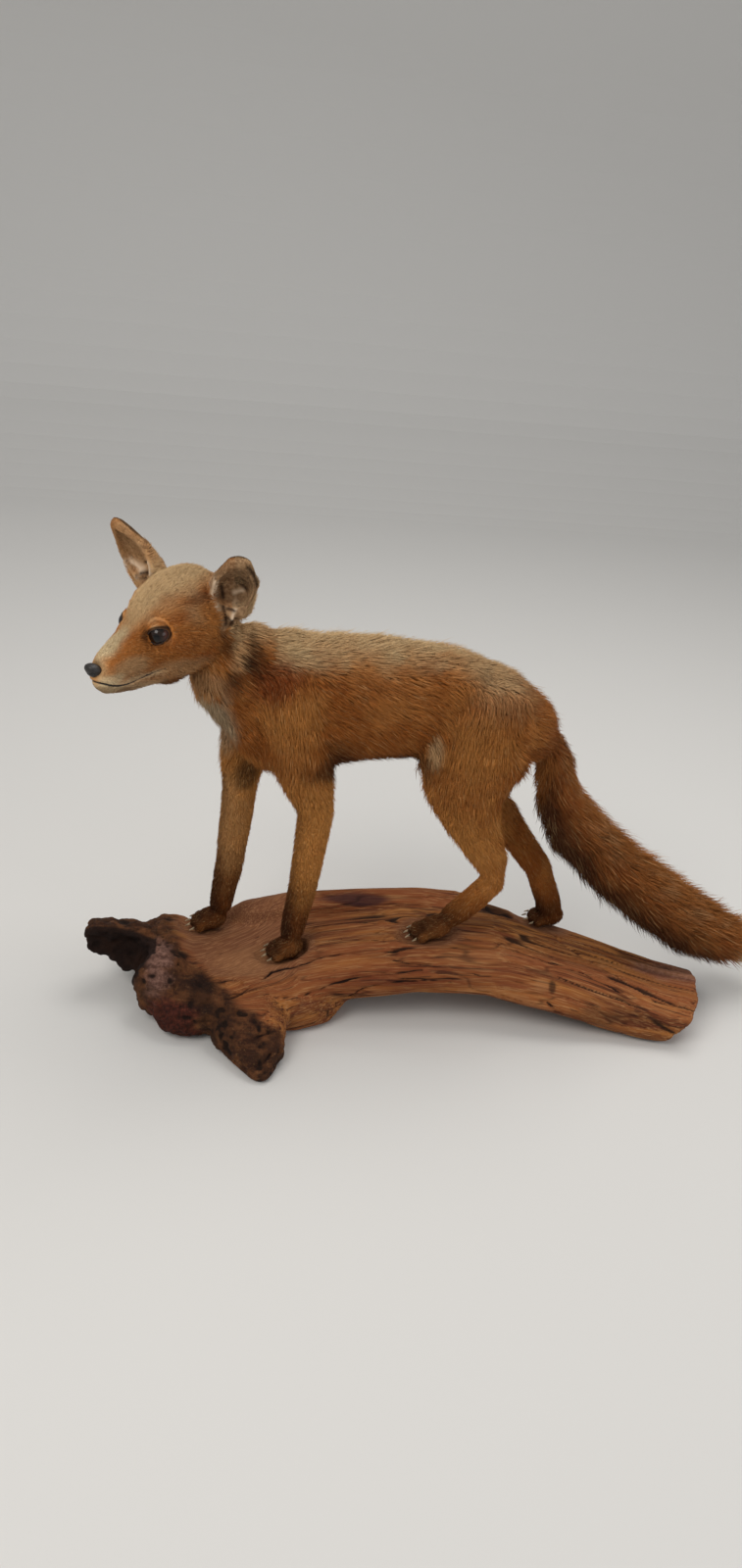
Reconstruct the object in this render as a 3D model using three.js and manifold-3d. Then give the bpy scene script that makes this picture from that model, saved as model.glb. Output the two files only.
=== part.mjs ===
// A taxidermy red fox, a young one, standing on a piece of arched driftwood.
// Millimetres, +Z up. The fox faces -X, and its left side is the -Y side.
// Every length below is taken over the coat, out to the tips of the hair.
import * as THREE from 'three';
import { ParametricGeometry } from 'three/addons/geometries/ParametricGeometry.js';
import { mergeVertices } from 'three/addons/utils/BufferGeometryUtils.js';
import Module from 'manifold-3d';

const wasm = await Module();
wasm.setup();

// ---- driving dimensions -------------------------------------------------------------------

const gap = 0.34;            // clear space between neighbouring pieces
const backHeight = 420;      // top of the back above the floor
const eyeRadius = 9.5;
const eyeSpread = 21.5;      // each eyeball's centre from the middle plane of the head
const earLength = 76;
const noseReach = 69;        // from between the eyes to the tip of the nose
const headTurn = THREE.MathUtils.degToRad(41.5);   // towards the fox's left
const headNod = THREE.MathUtils.degToRad(7);   // nose down
const headPlace = new THREE.Vector3(-38, -32, 426);   // the point between the eyes

// ---- colours ------------------------------------------------------------------------------

const coat = { tan: '#b98d5a', ochre: '#a4713c', cream: '#cdb48a', rust: '#8c5a30', sock: '#6d5038' };
const finish = {
  back: new THREE.MeshStandardMaterial({ color: coat.tan, roughness: 0.95 }),
  leg: new THREE.MeshStandardMaterial({ color: coat.ochre, roughness: 0.95 }),
  face: new THREE.MeshStandardMaterial({ color: coat.tan, roughness: 0.95 }),
  jaw: new THREE.MeshStandardMaterial({ color: coat.cream, roughness: 0.95 }),
  brush: new THREE.MeshStandardMaterial({ color: coat.rust, roughness: 0.95 }),
  paw: new THREE.MeshStandardMaterial({ color: coat.sock, roughness: 0.95 }),
  claw: new THREE.MeshStandardMaterial({ color: '#b9ab90', roughness: 0.5 }),
  eye: new THREE.MeshStandardMaterial({ color: '#1c120c', roughness: 0.08 }),
  nose: new THREE.MeshStandardMaterial({ color: '#1a1817', roughness: 0.45 }),
  wood: new THREE.MeshStandardMaterial({ color: '#7f5039', roughness: 0.85 }),
};

// ---- solids -------------------------------------------------------------------------------

// Turns a three.js geometry into a solid that can be joined and cut.
function solid(geometry) {
  const bare = geometry.clone();
  bare.deleteAttribute('normal');
  bare.deleteAttribute('uv');
  const welded = mergeVertices(bare, 1e-4);
  const place = welded.getAttribute('position');
  const corner = welded.getIndex().array;
  const faces = [];
  let volume = 0;
  const [a, b, c] = [new THREE.Vector3(), new THREE.Vector3(), new THREE.Vector3()];
  for (let i = 0; i < corner.length; i += 3) {
    const [p, q, r] = corner.slice(i, i + 3);
    if (p === q || q === r || r === p) continue;
    faces.push(p, q, r);
    a.fromBufferAttribute(place, p);
    b.fromBufferAttribute(place, q);
    c.fromBufferAttribute(place, r);
    volume += a.dot(b.cross(c));
  }
  const triVerts = Uint32Array.from(volume < 0 ? faces.reverse() : faces);
  const vertProperties = Float32Array.from(place.array);
  return new wasm.Manifold(new wasm.Mesh({ numProp: 3, vertProperties, triVerts }));
}

// Back from a solid to a three.js geometry.
function geometryOf(shape) {
  const mesh = shape.getMesh();
  const geometry = new THREE.BufferGeometry();
  geometry.setAttribute('position', new THREE.BufferAttribute(mesh.vertProperties, 3));
  geometry.setIndex(new THREE.BufferAttribute(mesh.triVerts, 1));
  geometry.computeVertexNormals();
  return geometry;
}

// A closed, round-ended body that follows a row of stations. A station is
// [x, y, z, over, under, side]: the section's centre, how far it reaches over that centre and
// under it, and half its width. A body that runs towards +X has "over" on top, and one that
// runs down has it at the back (+X).
function body(stations, { around = 16, along = 12, square = 2, ends = [1, 1], grow = 0,
  sideways = new THREE.Vector3(0, 1, 0), wave = () => 1 } = {}) {
  const spine = new THREE.CatmullRomCurve3(stations.map(([x, y, z]) => new THREE.Vector3(x, y, z)));
  const reach = new THREE.CatmullRomCurve3(
    stations.map(([, , , over, under, side]) => new THREE.Vector3(over, under, side)));
  const span = 1 / (stations.length - 1);
  const cap = (t, length) => (t < length ? Math.sqrt(1 - (1 - t / length) ** 2) : 1);
  const power = 2 / square;
  const swell = (x) => Math.sign(x) * Math.abs(x) ** power;
  const section = (u, v, target) => {
    const t = THREE.MathUtils.clamp(v - 0.12 * Math.sin(2 * Math.PI * v), 0, 1);
    const angle = 2 * Math.PI * u;
    const forward = spine.getTangent(t).normalize();
    const side = sideways.clone().addScaledVector(forward, -sideways.dot(forward)).normalize();
    const over = new THREE.Vector3().crossVectors(forward, side);
    const size = reach.getPoint(t);
    const round = cap(t, span * ends[0]) * cap(1 - t, span * ends[1]);
    const height = (Math.cos(angle) > 0 ? size.x : size.y) * wave(t, angle) + grow;
    const width = size.z * wave(t, angle) + grow;
    target.copy(spine.getPoint(t)).addScaledVector(forward, grow * (2 * t - 1))
      .addScaledVector(over, round * height * swell(Math.cos(angle)))
      .addScaledVector(side, round * width * swell(Math.sin(angle)));
  };
  return solid(new ParametricGeometry(section, around, along));
}

// A ball stretched to half-sizes rx, ry, rz about a centre.
function ball([x, y, z], [rx, ry, rz], around = 12, rows = 8) {
  return solid(new THREE.SphereGeometry(1, around, rows).scale(rx, ry, rz).translate(x, y, z));
}

const join = (shapes) => shapes.reduce((whole, next) => whole.add(next));
const cut = (whole, tools) => tools.reduce((left, tool) => left.subtract(tool), whole);

// Parts a long body at planes that cross its run, leaving the usual gap at each.
// A plane is [x, y, z] on it and [nx, ny, nz] towards the next length.
function lengths(whole, planes) {
  const pieces = [];
  let rest = whole;
  for (const [point, towards] of planes) {
    const normal = new THREE.Vector3(...towards).normalize();
    const level = normal.dot(new THREE.Vector3(...point));
    pieces.push(rest.trimByPlane(normal.clone().negate().toArray(), -level + gap / 2));
    rest = rest.trimByPlane(normal.toArray(), level + gap / 2);
  }
  pieces.push(rest);
  return pieces;
}

const model = new THREE.Group();

function show(name, shape, material) {
  const mesh = new THREE.Mesh(geometryOf(shape), material);
  mesh.name = name;
  model.add(mesh);
  return mesh;
}

// ---- trunk, neck and tail ------------------------------------------------------------------

const trunkStations = [
  // x, y, z of the middle, up to the back, down to the belly, half width
  [27, 0, 330, 40, 48, 34],                  // breast
  [58, 0, 338, 60, 66, 43],                  // point of the shoulder
  [100, 0, 342, backHeight - 342, 76, 50],   // withers
  [150, 0, 350, backHeight - 350, 66, 53],
  [200, 0, 352, backHeight - 353, 65, 53],   // ribs
  [245, 0, 351, 63, 60, 49],                 // flank
  [290, 0, 342, 61, 57, 47],                 // croup
  [330, 0, 329, 52, 47, 42],
  [362, 0, 314, 38, 34, 32],                 // root of the tail
  [380, 0, 306, 24, 24, 22],
];
const neckStations = [
  [2, 9, 414, 36, 38, 34],
  [34, 5, 388, 42, 44, 40],                  // behind the cheeks
  [58, 2, 362, 54, 56, 45],
  [88, 0, 338, 56, 56, 44],                  // inside the breast
];
const tailStations = [
  [356, 0, 330, 15, 15, 15],
  [374, 0, 316, 18, 18, 18],                 // root
  [388, 0, 280, 26, 24, 24],
  [398, 0, 244, 33, 32, 31],
  [421, 0, 212, 36, 38, 35],
  [454, 0, 181, 37, 40, 37],
  [494, 0, 149, 39, 41, 39],
  [538, 0, 117, 41, 42, 41],                 // fullest part of the brush
  [582, 0, 88, 41, 42, 40],
  [625, 0, 68, 36, 36, 35],
  [662, 0, 60, 27, 25, 26],
  [694, 0, 60, 15, 14, 15],                  // tip
];

// ---- legs ----------------------------------------------------------------------------------

// A foreleg from the shoulder blade to the ankle. It is laid out for the left leg, set down
// straight; "stride" carries the foot forwards (-X), and the leg above follows by its height.
function foreleg(side, foot, stride) {
  const top = 385;
  const elbow = 250;
  const forearmTop = 210;    // below this the length follows the height of the foot
  const sole = 60;           // where the foot stands as laid out
  const lean = (z) => stride * THREE.MathUtils.clamp((top - z) / (top - elbow), 0, 1);
  const rows = [
    // x, out from the middle plane, z, back, front, half width
    [100, 30, 394, 26, 26, 14],
    [101, 34, 365, 34, 34, 19],              // shoulder blade
    [105, 36, 330, 38, 38, 21],
    [112, 35, 300, 36, 36, 21],              // upper arm
    [122, 34, 277, 30, 31, 20],
    [130, 32, 257, 24, 25, 18],              // elbow
    [134, 30, 235, 20, 20, 17],
    [132, 28.5, 203, 19, 19, 16],            // forearm
    [129, 27.5, 172, 17.5, 17.5, 15],
    [127, 26.5, 145, 16.5, 16.5, 14],        // wrist
    [123, 25.5, 118, 14.5, 15, 13.5],
    [120, 25, 95, 14, 14.5, 14],
    [118, 25, 74, 12, 13, 13],               // inside the paw
  ];
  return rows.map(([x, out, z, back, front, half]) => {
    const reach = (forearmTop - foot) / (forearmTop - sole);
    const height = z < forearmTop ? foot + (z - sole) * reach : z;
    return [x - lean(z), side * out, height, back, front, half];
  });
}

const nearHind = [
  [300, -28, 388, 36, 36, 14],
  [302, -34, 360, 48, 50, 20],               // hip
  [295, -37, 330, 58, 61, 22],
  [287, -38, 302, 63, 64, 22],               // thigh
  [286, -37, 276, 52, 54, 21],
  [288, -35, 252, 41, 39, 19],               // stifle
  [299, -33, 226, 32, 29, 17],
  [313, -31, 201, 25, 23, 15],
  [326, -30, 181, 20, 20, 13.5],
  [333, -29.5, 166, 18, 15, 13],             // point of the hock
  [326, -29, 149, 16, 14.5, 13],
  [312, -28, 132, 16, 15, 13],
  [296, -27, 114, 15, 14, 13.5],
  [280, -27, 101, 12, 12, 13],
];
const farHind = [
  [300, 28, 388, 36, 36, 14],
  [300, 34, 360, 46, 46, 20],                // hip
  [298, 37, 330, 50, 54, 22],
  [298, 38, 300, 46, 52, 22],                // thigh
  [304, 37, 272, 38, 46, 20],
  [318, 35, 241, 28, 35, 18],                // stifle
  [343, 32, 208, 22, 26, 16],
  [372, 30, 177, 19, 20, 14.5],
  [396, 29, 148, 18, 17.5, 13.5],            // hock
  [408, 28, 123, 16, 15, 13],
  [418, 28, 98, 16, 15.5, 13],
  [423, 28, 82, 15, 15, 13.5],
  [423, 28, 72, 11, 11, 12],
];

const toeSpread = [-0.72, -0.25, 0.25, 0.72];   // across the paw, in shares of its half width
const toeReach = (across, length) => length * (Math.abs(across) > 0.5 ? 0.74 : 0.85);

// A paw with four toes, its heel end at [x, y] and its sole at height z. "turn" swings the
// toes out, and "slope" tips them down to follow the wood.
function paw([x, y, z], { length, width, turn, slope, grow = 0 }) {
  const half = width / 2;
  const pad = body([
    [0, 0, 13, 11, 11, half * 0.7],
    [-length * 0.3, 0, 14, 14, 13, half * 0.92],
    [-length * 0.62, 0, 11, 11, 10.5, half * 0.95],
    [-length * 0.86, 0, 9, 6, 8, half * 0.7],
  ], { around: 10, along: 5, grow, sideways: new THREE.Vector3(0, -1, 0) });
  const toes = toeSpread.map((across) => {
    const size = [length * 0.17 + grow, width * 0.155 + grow, 8 + grow];
    return ball([-toeReach(across, length), across * half * 1.08, 8.2], size, 6, 3);
  });
  return join([pad, ...toes]).rotate([0, -slope, 0]).rotate([0, 0, turn]).translate([x, y, z]);
}

// The flat that a paw stands on: an oval column from just under its sole upwards.
function footing([x, y, z], { length, width, turn, slope }) {
  return solid(new THREE.CylinderGeometry(1, 1, 60, 10).rotateX(Math.PI / 2)
    .scale(length / 2 + 10, width / 2 + 3, 1).translate(-length / 2 - 4, 0, 30 - gap))
    .rotate([0, -slope, 0]).rotate([0, 0, turn]).translate([x, y, z]);
}

// Four small hooked claws for the same paw.
function claws([x, y, z], { length, width, turn, slope }) {
  const half = width / 2;
  return toeSpread.map((across) => {
    const ahead = toeReach(across, length) + length * 0.1;
    const hook = body([
      [-ahead, across * half * 1.08, 8.2, 1.7, 1.7, 1.3],
      [-ahead - 4, across * half * 1.12, 7.8, 1.6, 1.6, 1.2],
      [-ahead - 8, across * half * 1.15, 4.6, 0.6, 0.6, 0.5],
    ], { around: 5, along: 3, ends: [0.6, 0.6] });
    return hook.rotate([0, -slope, 0]).rotate([0, 0, turn]).translate([x, y, z]);
  });
}

const paws = {
  front_left: { at: [134, -25, 57], length: 42, width: 34, turn: 5, slope: 2 },
  front_right: { at: [53, 25, 60], length: 42, width: 34, turn: 0, slope: 2 },
  hind_left: { at: [296, -27, 85], length: 50, width: 32, turn: 4, slope: 3 },
  hind_right: { at: [441, 28, 63], length: 44, width: 32, turn: -3, slope: -4 },
};
const limbs = {
  front_left: { stations: foreleg(-1, 58, 0), rows: 12 },
  front_right: { stations: foreleg(1, 61, 75), rows: 12 },
  hind_left: { stations: nearHind, rows: 14 },
  hind_right: { stations: farHind, rows: 13 },
};
const limbCuts = {
  front_left: { shoulder: [[0, 0, 252], [0, 0, -1]], forearm: [[0, 0, 104], [0, 0, -1]] },
  front_right: { shoulder: [[0, 0, 252], [0, 0, -1]], forearm: [[0, 0, 104], [0, 0, -1]] },
  hind_left: {
    thigh: [[292, 0, 240], [0.35, 0, -1]],
    shank: [[330, 0, 168], [-0.1, 0, -1]],
    metatarsus: [[290, 0, 110], [-1, 0, -1]],
  },
  hind_right: {
    thigh: [[320, 0, 240], [0.6, 0, -1]],
    shank: [[398, 0, 144], [0.4, 0, -1]],
    metatarsus: [[422, 0, 96], [0.1, 0, -1]],
  },
};

const clawSolids = {};
const limbSolids = {};
const footings = [];
const hipTools = [];
for (const [name, { stations, rows }] of Object.entries(limbs)) {
  const { at, ...shape } = paws[name];
  const pawTool = paw(at, { ...shape, grow: gap });
  clawSolids[name] = claws(at, shape).map((claw) => claw.subtract(pawTool));
  limbSolids[name] = body(stations, { around: 10, along: rows }).add(paw(at, shape));
  hipTools.push(body(stations, { around: 10, along: rows, grow: gap }));
  footings.push(footing(at, shape));
}

// ---- head ----------------------------------------------------------------------------------

// The head is laid out straight, from the point between the eyes, and turned afterwards.
const headStations = [
  // x, y, z of the widest level, up, down, half width
  [-noseReach + 3, 0, -26, 12, 11, 8],
  [-54, 0, -28, 20, 16, 12.5],               // lips
  [-38, 0, -28, 28, 20, 16],
  [-20, 0, -26, 35, 25, 20.5],
  [-3, 0, -21, 43, 34, 27.5],                // eyes
  [14, 0, -17, 53, 43, 38],
  [32, 0, -14, 58, 48, 45],                  // cheeks
  [52, 0, -11, 58, 50, 50],                  // ears
  [74, 0, -7, 50, 46, 49],
  [100, 0, -4, 32, 34, 38],                  // nape
];
const eyePlace = (side) => [0.5, side * eyeSpread, 0];
const lidPlace = (side) => [-4.6, side * (eyeSpread + 6), 0];
const noseShape = [[-noseReach + 6.5, 0, -19.5], [6.8, 8, 6.6]];
const grownBy = (sizes, more) => sizes.map((size) => size + more);

// An ear: a leaf-shaped cup with its opening towards local +X and its tip along +Z.
function ear({ length, width, depth, point, hollow = true, grow = 0 }) {
  const half = width / 2;
  const shell = (thin, front, from, to) => [0, 0.16, 0.36, 0.58, 0.78, 0.93, 1].map((share, i) => {
    const spread = [0.76, 0.94, 1, 0.88, 0.62, point, point * 0.6][i];
    const bowl = [0.9, 1, 0.95, 0.75, 0.5, 0.3, 0.2][i];
    const height = THREE.MathUtils.lerp(from, to, share);
    const bend = depth * 0.5 * share ** 2;
    const wide = Math.max(half * spread - thin, 1);
    return [bend - depth * 0.2, 0, height, depth * bowl - thin, front, wide];
  });
  const outer = body(shell(0, depth * 0.3, 0, length), { around: 10, along: 8, grow });
  if (!hollow) return outer;
  const inner = body(shell(2.4, depth * 1.4, 15, length - 5), { around: 10, along: 8 });
  return outer.subtract(inner);
}

const ears = {
  left: { side: -1, root: [66, -40, -2], tip: [-5, -25, 68], opening: [-0.62, -0.75, 0.1],
    shape: { length: earLength, width: 46, depth: 17, point: 0.45 } },
  right: { side: 1, root: [37, 35, 12], tip: [-9, 27, 68], opening: [-0.95, 0.1, 0],
    shape: { length: earLength, width: 50, depth: 15, point: 0.26 } },
};

function placeEar({ root, tip, opening }, shape) {
  const axis = new THREE.Vector3(...tip).normalize();
  const facing = new THREE.Vector3(...opening);
  facing.addScaledVector(axis, -facing.dot(axis)).normalize();
  const across = new THREE.Vector3().crossVectors(axis, facing);
  const frame = new THREE.Matrix4().makeBasis(facing, across, axis).setPosition(...root);
  return shape.transform(frame.elements);
}

// The jaw is what lies under the mouth line, ahead of its hinge.
const jawOutline = new THREE.Shape();
jawOutline.moveTo(-noseReach - 20, -36);
jawOutline.lineTo(-noseReach + 8, -35);
jawOutline.bezierCurveTo(-50, -38, -26, -41, 0, -38);
jawOutline.lineTo(17, -75);
jawOutline.lineTo(-noseReach - 20, -75);
const jawExtrude = { depth: 120, bevelEnabled: false, curveSegments: 6 };
const jawBlock = solid(new THREE.ExtrudeGeometry(jawOutline, jawExtrude)
  .rotateX(Math.PI / 2).translate(0, jawExtrude.depth / 2, 0));

const headEuler = new THREE.Euler(0, -headNod, headTurn, 'ZYX');
const headFrame = new THREE.Matrix4().makeRotationFromEuler(headEuler).setPosition(headPlace);
const turned = (shape) => shape.transform(headFrame.elements);

const headOptions = { around: 17, along: 13, square: 2.1 };
const headBlank = body(headStations, headOptions);
const faceTools = [];
for (const side of [-1, 1]) {
  faceTools.push(ball(eyePlace(side), Array(3).fill(eyeRadius + gap), 10, 7));
  faceTools.push(ball(lidPlace(side), [8, 6.5, 7.4], 8, 6));
}
faceTools.push(ball(noseShape[0], grownBy(noseShape[1], gap), 9, 6));
for (const each of Object.values(ears)) {
  faceTools.push(placeEar(each, ear({ ...each.shape, hollow: false, grow: gap })));
}
const headWhole = cut(headBlank, faceTools);
const jawSolid = turned(headWhole.intersect(jawBlock.translate([-gap, 0, -gap])));
const headSolid = turned(headWhole.subtract(jawBlock));
const headTool = turned(body(headStations, { ...headOptions, grow: gap }));
const earTools = Object.values(ears).map((each) =>
  turned(placeEar(each, ear({ ...each.shape, hollow: false, grow: gap }))));

// ---- the fox, piece by piece -----------------------------------------------------------------

show('head', headSolid, finish.face);
show('lower_jaw', jawSolid, finish.jaw);
show('nose', turned(ball(...noseShape, 9, 6)), finish.nose);
for (const [name, each] of Object.entries(ears)) {
  show(`eye_${name}`, turned(ball(eyePlace(each.side), Array(3).fill(eyeRadius), 10, 7)), finish.eye);
  show(`ear_${name}`, turned(placeEar(each, ear(each.shape))), finish.face);
}

const neckOptions = { around: 14, along: 6 };
const tailOptions = { around: 12, along: 14 };
const neck = cut(body(neckStations, neckOptions), [headTool, ...earTools, ...hipTools]);
show('neck', neck, finish.back);

const trunk = cut(body(trunkStations, { around: 14, along: 11, square: 2.15 }), [
  ...hipTools,
  headTool,
  body(neckStations, { ...neckOptions, grow: gap }),
  body(tailStations, { ...tailOptions, grow: gap }),
]);
show('trunk', trunk, finish.back);

const tailNames = ['tail_base', 'tail_brush', 'tail_tip'];
const tailCuts = [[[402, 0, 236], [0.5, 0, -0.8]], [[590, 0, 83], [1, 0, -0.5]]];
const tail = cut(body(tailStations, tailOptions), hipTools);
lengths(tail, tailCuts).forEach((piece, i) => show(tailNames[i], piece, finish.brush));

for (const [name, cuts] of Object.entries(limbCuts)) {
  const names = [...Object.keys(cuts), 'paw'];
  const pieces = lengths(limbSolids[name], Object.values(cuts));
  pieces.forEach((piece, i) => {
    show(`${name}_${names[i]}`, piece, i === pieces.length - 1 ? finish.paw : finish.leg);
  });
  clawSolids[name].forEach((claw, i) => show(`${name}_claw_${i + 1}`, claw, finish.claw));
}

// ---- driftwood -------------------------------------------------------------------------------

const logStations = [
  // x, y, z, up, down, half width
  [-46, 2, 44, 22, 30, 34],
  [-14, -4, 42, 28, 44, 54],                 // burl
  [30, -8, 36, 26, 42, 70],
  [88, -8, 36, 26, 38, 74],
  [150, -6, 46, 30, 36, 71],
  [215, -9, 56, 32, 30, 73],                 // crown of the arch
  [285, -6, 58, 34, 28, 72],
  [350, -12, 54, 32, 28, 73],
  [415, -24, 43, 27, 28, 74],
  [475, -38, 30, 28, 34, 69],
  [530, -58, 22, 27, 30, 61],                // far foot of the arch
  [600, -82, 22, 25, 26, 52],
];
// Long flutes that follow the grain round the wood.
const grain = (t, angle) => 1 + 0.035 * Math.sin(5 * angle + 6 * t) + 0.02 * Math.sin(9 * angle - 9 * t);
const beam = body(logStations, { around: 18, along: 14, square: 2.6, ends: [0.8, 0.2], wave: grain });
const ridge = body([
  [38, 46, 48, 22, 24, 20],
  [95, 48, 60, 25, 30, 24],
  [160, 48, 68, 26, 30, 24],
  [230, 48, 70, 27, 30, 23],
  [300, 50, 72, 26, 30, 20],
  [345, 52, 66, 22, 26, 16],
], { around: 8, along: 8 });
const burl = [
  ball([-16, -50, 38], [32, 32, 38], 9, 6),
  ball([12, -72, 26], [40, 34, 34], 9, 6),
  ball([62, -78, 26], [50, 36, 32], 9, 6),
  ball([112, -50, 22], [72, 44, 38], 10, 6), // flare under the arch
  ball([-10, 30, 30], [38, 34, 40], 9, 6),
];
// The knob that stands out in front as a foot.
const knob = body([
  [66, -70, 30, 34, 34, 54],
  [75, -106, 20, 26, 26, 41],
  [82, -140, 11, 18, 18, 25],
  [84, -170, 5, 12, 12, 13],
], { around: 10, along: 5, square: 2.6, sideways: new THREE.Vector3(1, 0, 0) });
// A broken, hollow stub at the left end.
const stub = body([
  [-100, -6, 68, 15, 16, 22],
  [-78, -4, 64, 17, 22, 30],
  [-52, -2, 56, 22, 30, 38],
  [-20, 0, 48, 26, 34, 44],
], { around: 10, along: 5, ends: [0.25, 1] });
// Its left wall and its underside are gone, so a roof and the right wall are left.
const hollow = body([
  [-122, -26, 66, 18, 28, 22],
  [-90, -26, 64, 23, 30, 24],
  [-60, -28, 60, 24, 32, 27],
  [-26, -30, 50, 20, 26, 24],
], { around: 8, along: 5, ends: [0.5, 1] });

// The right end is broken off at a slant, and a corner of it is gone underneath.
const breaks = [
  { at: new THREE.Vector3(590, -65, 45), towards: new THREE.Vector3(-0.85, 0.5, 0.15) },
  { at: new THREE.Vector3(537, -125, 20), towards: new THREE.Vector3(-0.75, 0.25, 0.6) },
];
const wood = breaks.reduce(
  (left, { at, towards }) => left.trimByPlane(towards.normalize().toArray(), towards.dot(at)),
  join([beam, ridge, ...burl, knob, stub]).subtract(hollow).trimByPlane([0, 0, 1], 0));
show('driftwood', cut(wood, footings), finish.wood);

// ---- the origin lies under the middle, on the floor --------------------------------------------

const bounds = new THREE.Box3().setFromObject(model);
const middle = bounds.getCenter(new THREE.Vector3());
for (const mesh of model.children) {
  mesh.geometry.translate(-middle.x, -middle.y, -bounds.min.z);
}

export default model;
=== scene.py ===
import bmesh
import bpy
import numpy as np
from mathutils import Matrix, Vector, kdtree
from mathutils.bvhtree import BVHTree


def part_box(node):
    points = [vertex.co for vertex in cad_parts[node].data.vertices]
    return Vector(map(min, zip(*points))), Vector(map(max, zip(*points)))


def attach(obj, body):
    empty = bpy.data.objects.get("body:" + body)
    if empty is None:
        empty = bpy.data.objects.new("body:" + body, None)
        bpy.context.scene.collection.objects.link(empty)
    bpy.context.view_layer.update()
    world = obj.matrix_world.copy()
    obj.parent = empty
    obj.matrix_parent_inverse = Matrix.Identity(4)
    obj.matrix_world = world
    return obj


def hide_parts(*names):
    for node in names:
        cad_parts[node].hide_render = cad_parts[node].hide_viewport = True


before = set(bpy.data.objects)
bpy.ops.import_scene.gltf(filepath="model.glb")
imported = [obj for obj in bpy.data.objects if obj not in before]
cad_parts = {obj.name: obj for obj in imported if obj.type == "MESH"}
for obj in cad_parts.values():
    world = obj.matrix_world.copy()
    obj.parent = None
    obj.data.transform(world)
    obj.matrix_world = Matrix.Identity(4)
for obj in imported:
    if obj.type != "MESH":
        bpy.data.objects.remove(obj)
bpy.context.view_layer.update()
mm = 0.001

# ---- Where the fox stands, and the room ------------------------------------------------------
# The plan's origin lies on the floor under the front of the breast, on the fox's middle plane.
# The head has a plan of its own: it starts between the eyes, -x to the nose and +y to the right.

trunk_low, trunk_high = (np.array(corner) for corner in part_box("trunk"))
trunk_end = 382.2 * mm     # how far behind the origin the trunk ends
plan = np.array([trunk_high[0] - trunk_end, (trunk_low[1] + trunk_high[1]) / 2, 0.0])


def centre_of(node):
    low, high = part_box(node)
    return (np.array(low) + np.array(high)) / 2


def unit(vector):
    return vector / np.linalg.norm(vector)


between_eyes = (centre_of("eye_left") + centre_of("eye_right")) / 2
head_across = unit(centre_of("eye_right") - centre_of("eye_left"))
to_nose = unit(centre_of("nose") - between_eyes)
nose_drop = np.arctan2(19.5, 63.0)
level = np.cross(to_nose, head_across)
head_back = -np.cos(nose_drop) * to_nose + np.sin(nose_drop) * level
head_up = -np.sin(nose_drop) * to_nose - np.cos(nose_drop) * level
head_axes = np.array([head_back, head_across, head_up])
head_start = between_eyes - 0.5 * mm * head_back


def on_body(places):
    """Places in mm on the body's plan, in metres."""
    return plan + np.asarray(places, float) * mm


def on_head(places):
    """Places in mm on the head's plan, in metres."""
    return head_start + np.asarray(places, float) * mm @ head_axes


def to_body(places):
    return (places - plan) / mm


def to_head(places):
    return (places - head_start) @ head_axes.T / mm


# The camera stands a little over a metre off, at the height of a person's chest, looking down.
camera_data = bpy.data.cameras.new("camera")
camera_data.sensor_fit = "VERTICAL"
camera_data.sensor_height = 36
camera_data.lens = 26.55
camera_data.clip_start = 0.02
camera = bpy.data.objects.new("camera", camera_data)
bpy.context.scene.collection.objects.link(camera)
looking = Matrix(((0.986783, -0.026317, -0.159911),
                  (-0.131357, 0.448030, -0.884316),
                  (0.094917, 0.893631, 0.438650)))
camera.matrix_world = Matrix.Translation(on_body((0, -1066.5, 783.9))) @ looking.to_4x4()
bpy.context.scene.camera = camera
bpy.context.scene.view_settings.view_transform = "Standard"

# A pale sweep: floor, and a wall far behind it joined by a wide curve.
sweep = bmesh.new()
lip = [sweep.verts.new((-6, y, z)) for y, z in ((-4, 0), (2.6, 0), (3.3, 0.25), (3.6, 1.0), (3.6, 4))]
edges = [sweep.edges.new(pair) for pair in zip(lip, lip[1:])]
bmesh.ops.bevel(sweep, geom=lip[1:-1], offset=0.3, segments=6, profile=0.5, affect="VERTICES",
                material=-1)
drawn = bmesh.ops.extrude_edge_only(sweep, edges=sweep.edges[:])
bmesh.ops.translate(sweep, vec=(12, 0, 0),
                    verts=[v for v in drawn["geom"] if isinstance(v, bmesh.types.BMVert)])
bmesh.ops.recalc_face_normals(sweep, faces=sweep.faces)
floor_mesh = bpy.data.meshes.new("floor")
sweep.to_mesh(floor_mesh)
sweep.free()
floor = bpy.data.objects.new("floor", floor_mesh)
bpy.context.scene.collection.objects.link(floor)
floor_paint = bpy.data.materials.new("pale_floor")
floor_paint.use_nodes = True
floor_shader = floor_paint.node_tree.nodes["Principled BSDF"]
floor_shader.inputs["Base Color"].default_value = (0.62, 0.61, 0.59, 1)
floor_shader.inputs["Roughness"].default_value = 0.9
floor_mesh.materials.append(floor_paint)

room = bpy.data.worlds.new("room")
room.use_nodes = True
room.node_tree.nodes["Background"].inputs["Color"].default_value = (0.9, 0.9, 0.9, 1)
room.node_tree.nodes["Background"].inputs["Strength"].default_value = 0.55
bpy.context.scene.world = room


def softbox(name, place, aim, size, power, tint):
    lamp = bpy.data.lights.new(name, "AREA")
    lamp.shape = "RECTANGLE"
    lamp.size, lamp.size_y = size
    lamp.energy = power
    lamp.color = tint
    holder = bpy.data.objects.new(name, lamp)
    bpy.context.scene.collection.objects.link(holder)
    way = Vector(aim) - Vector(place)
    holder.matrix_world = Matrix.Translation(place) @ way.to_track_quat("-Z", "Y").to_matrix().to_4x4()


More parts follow.
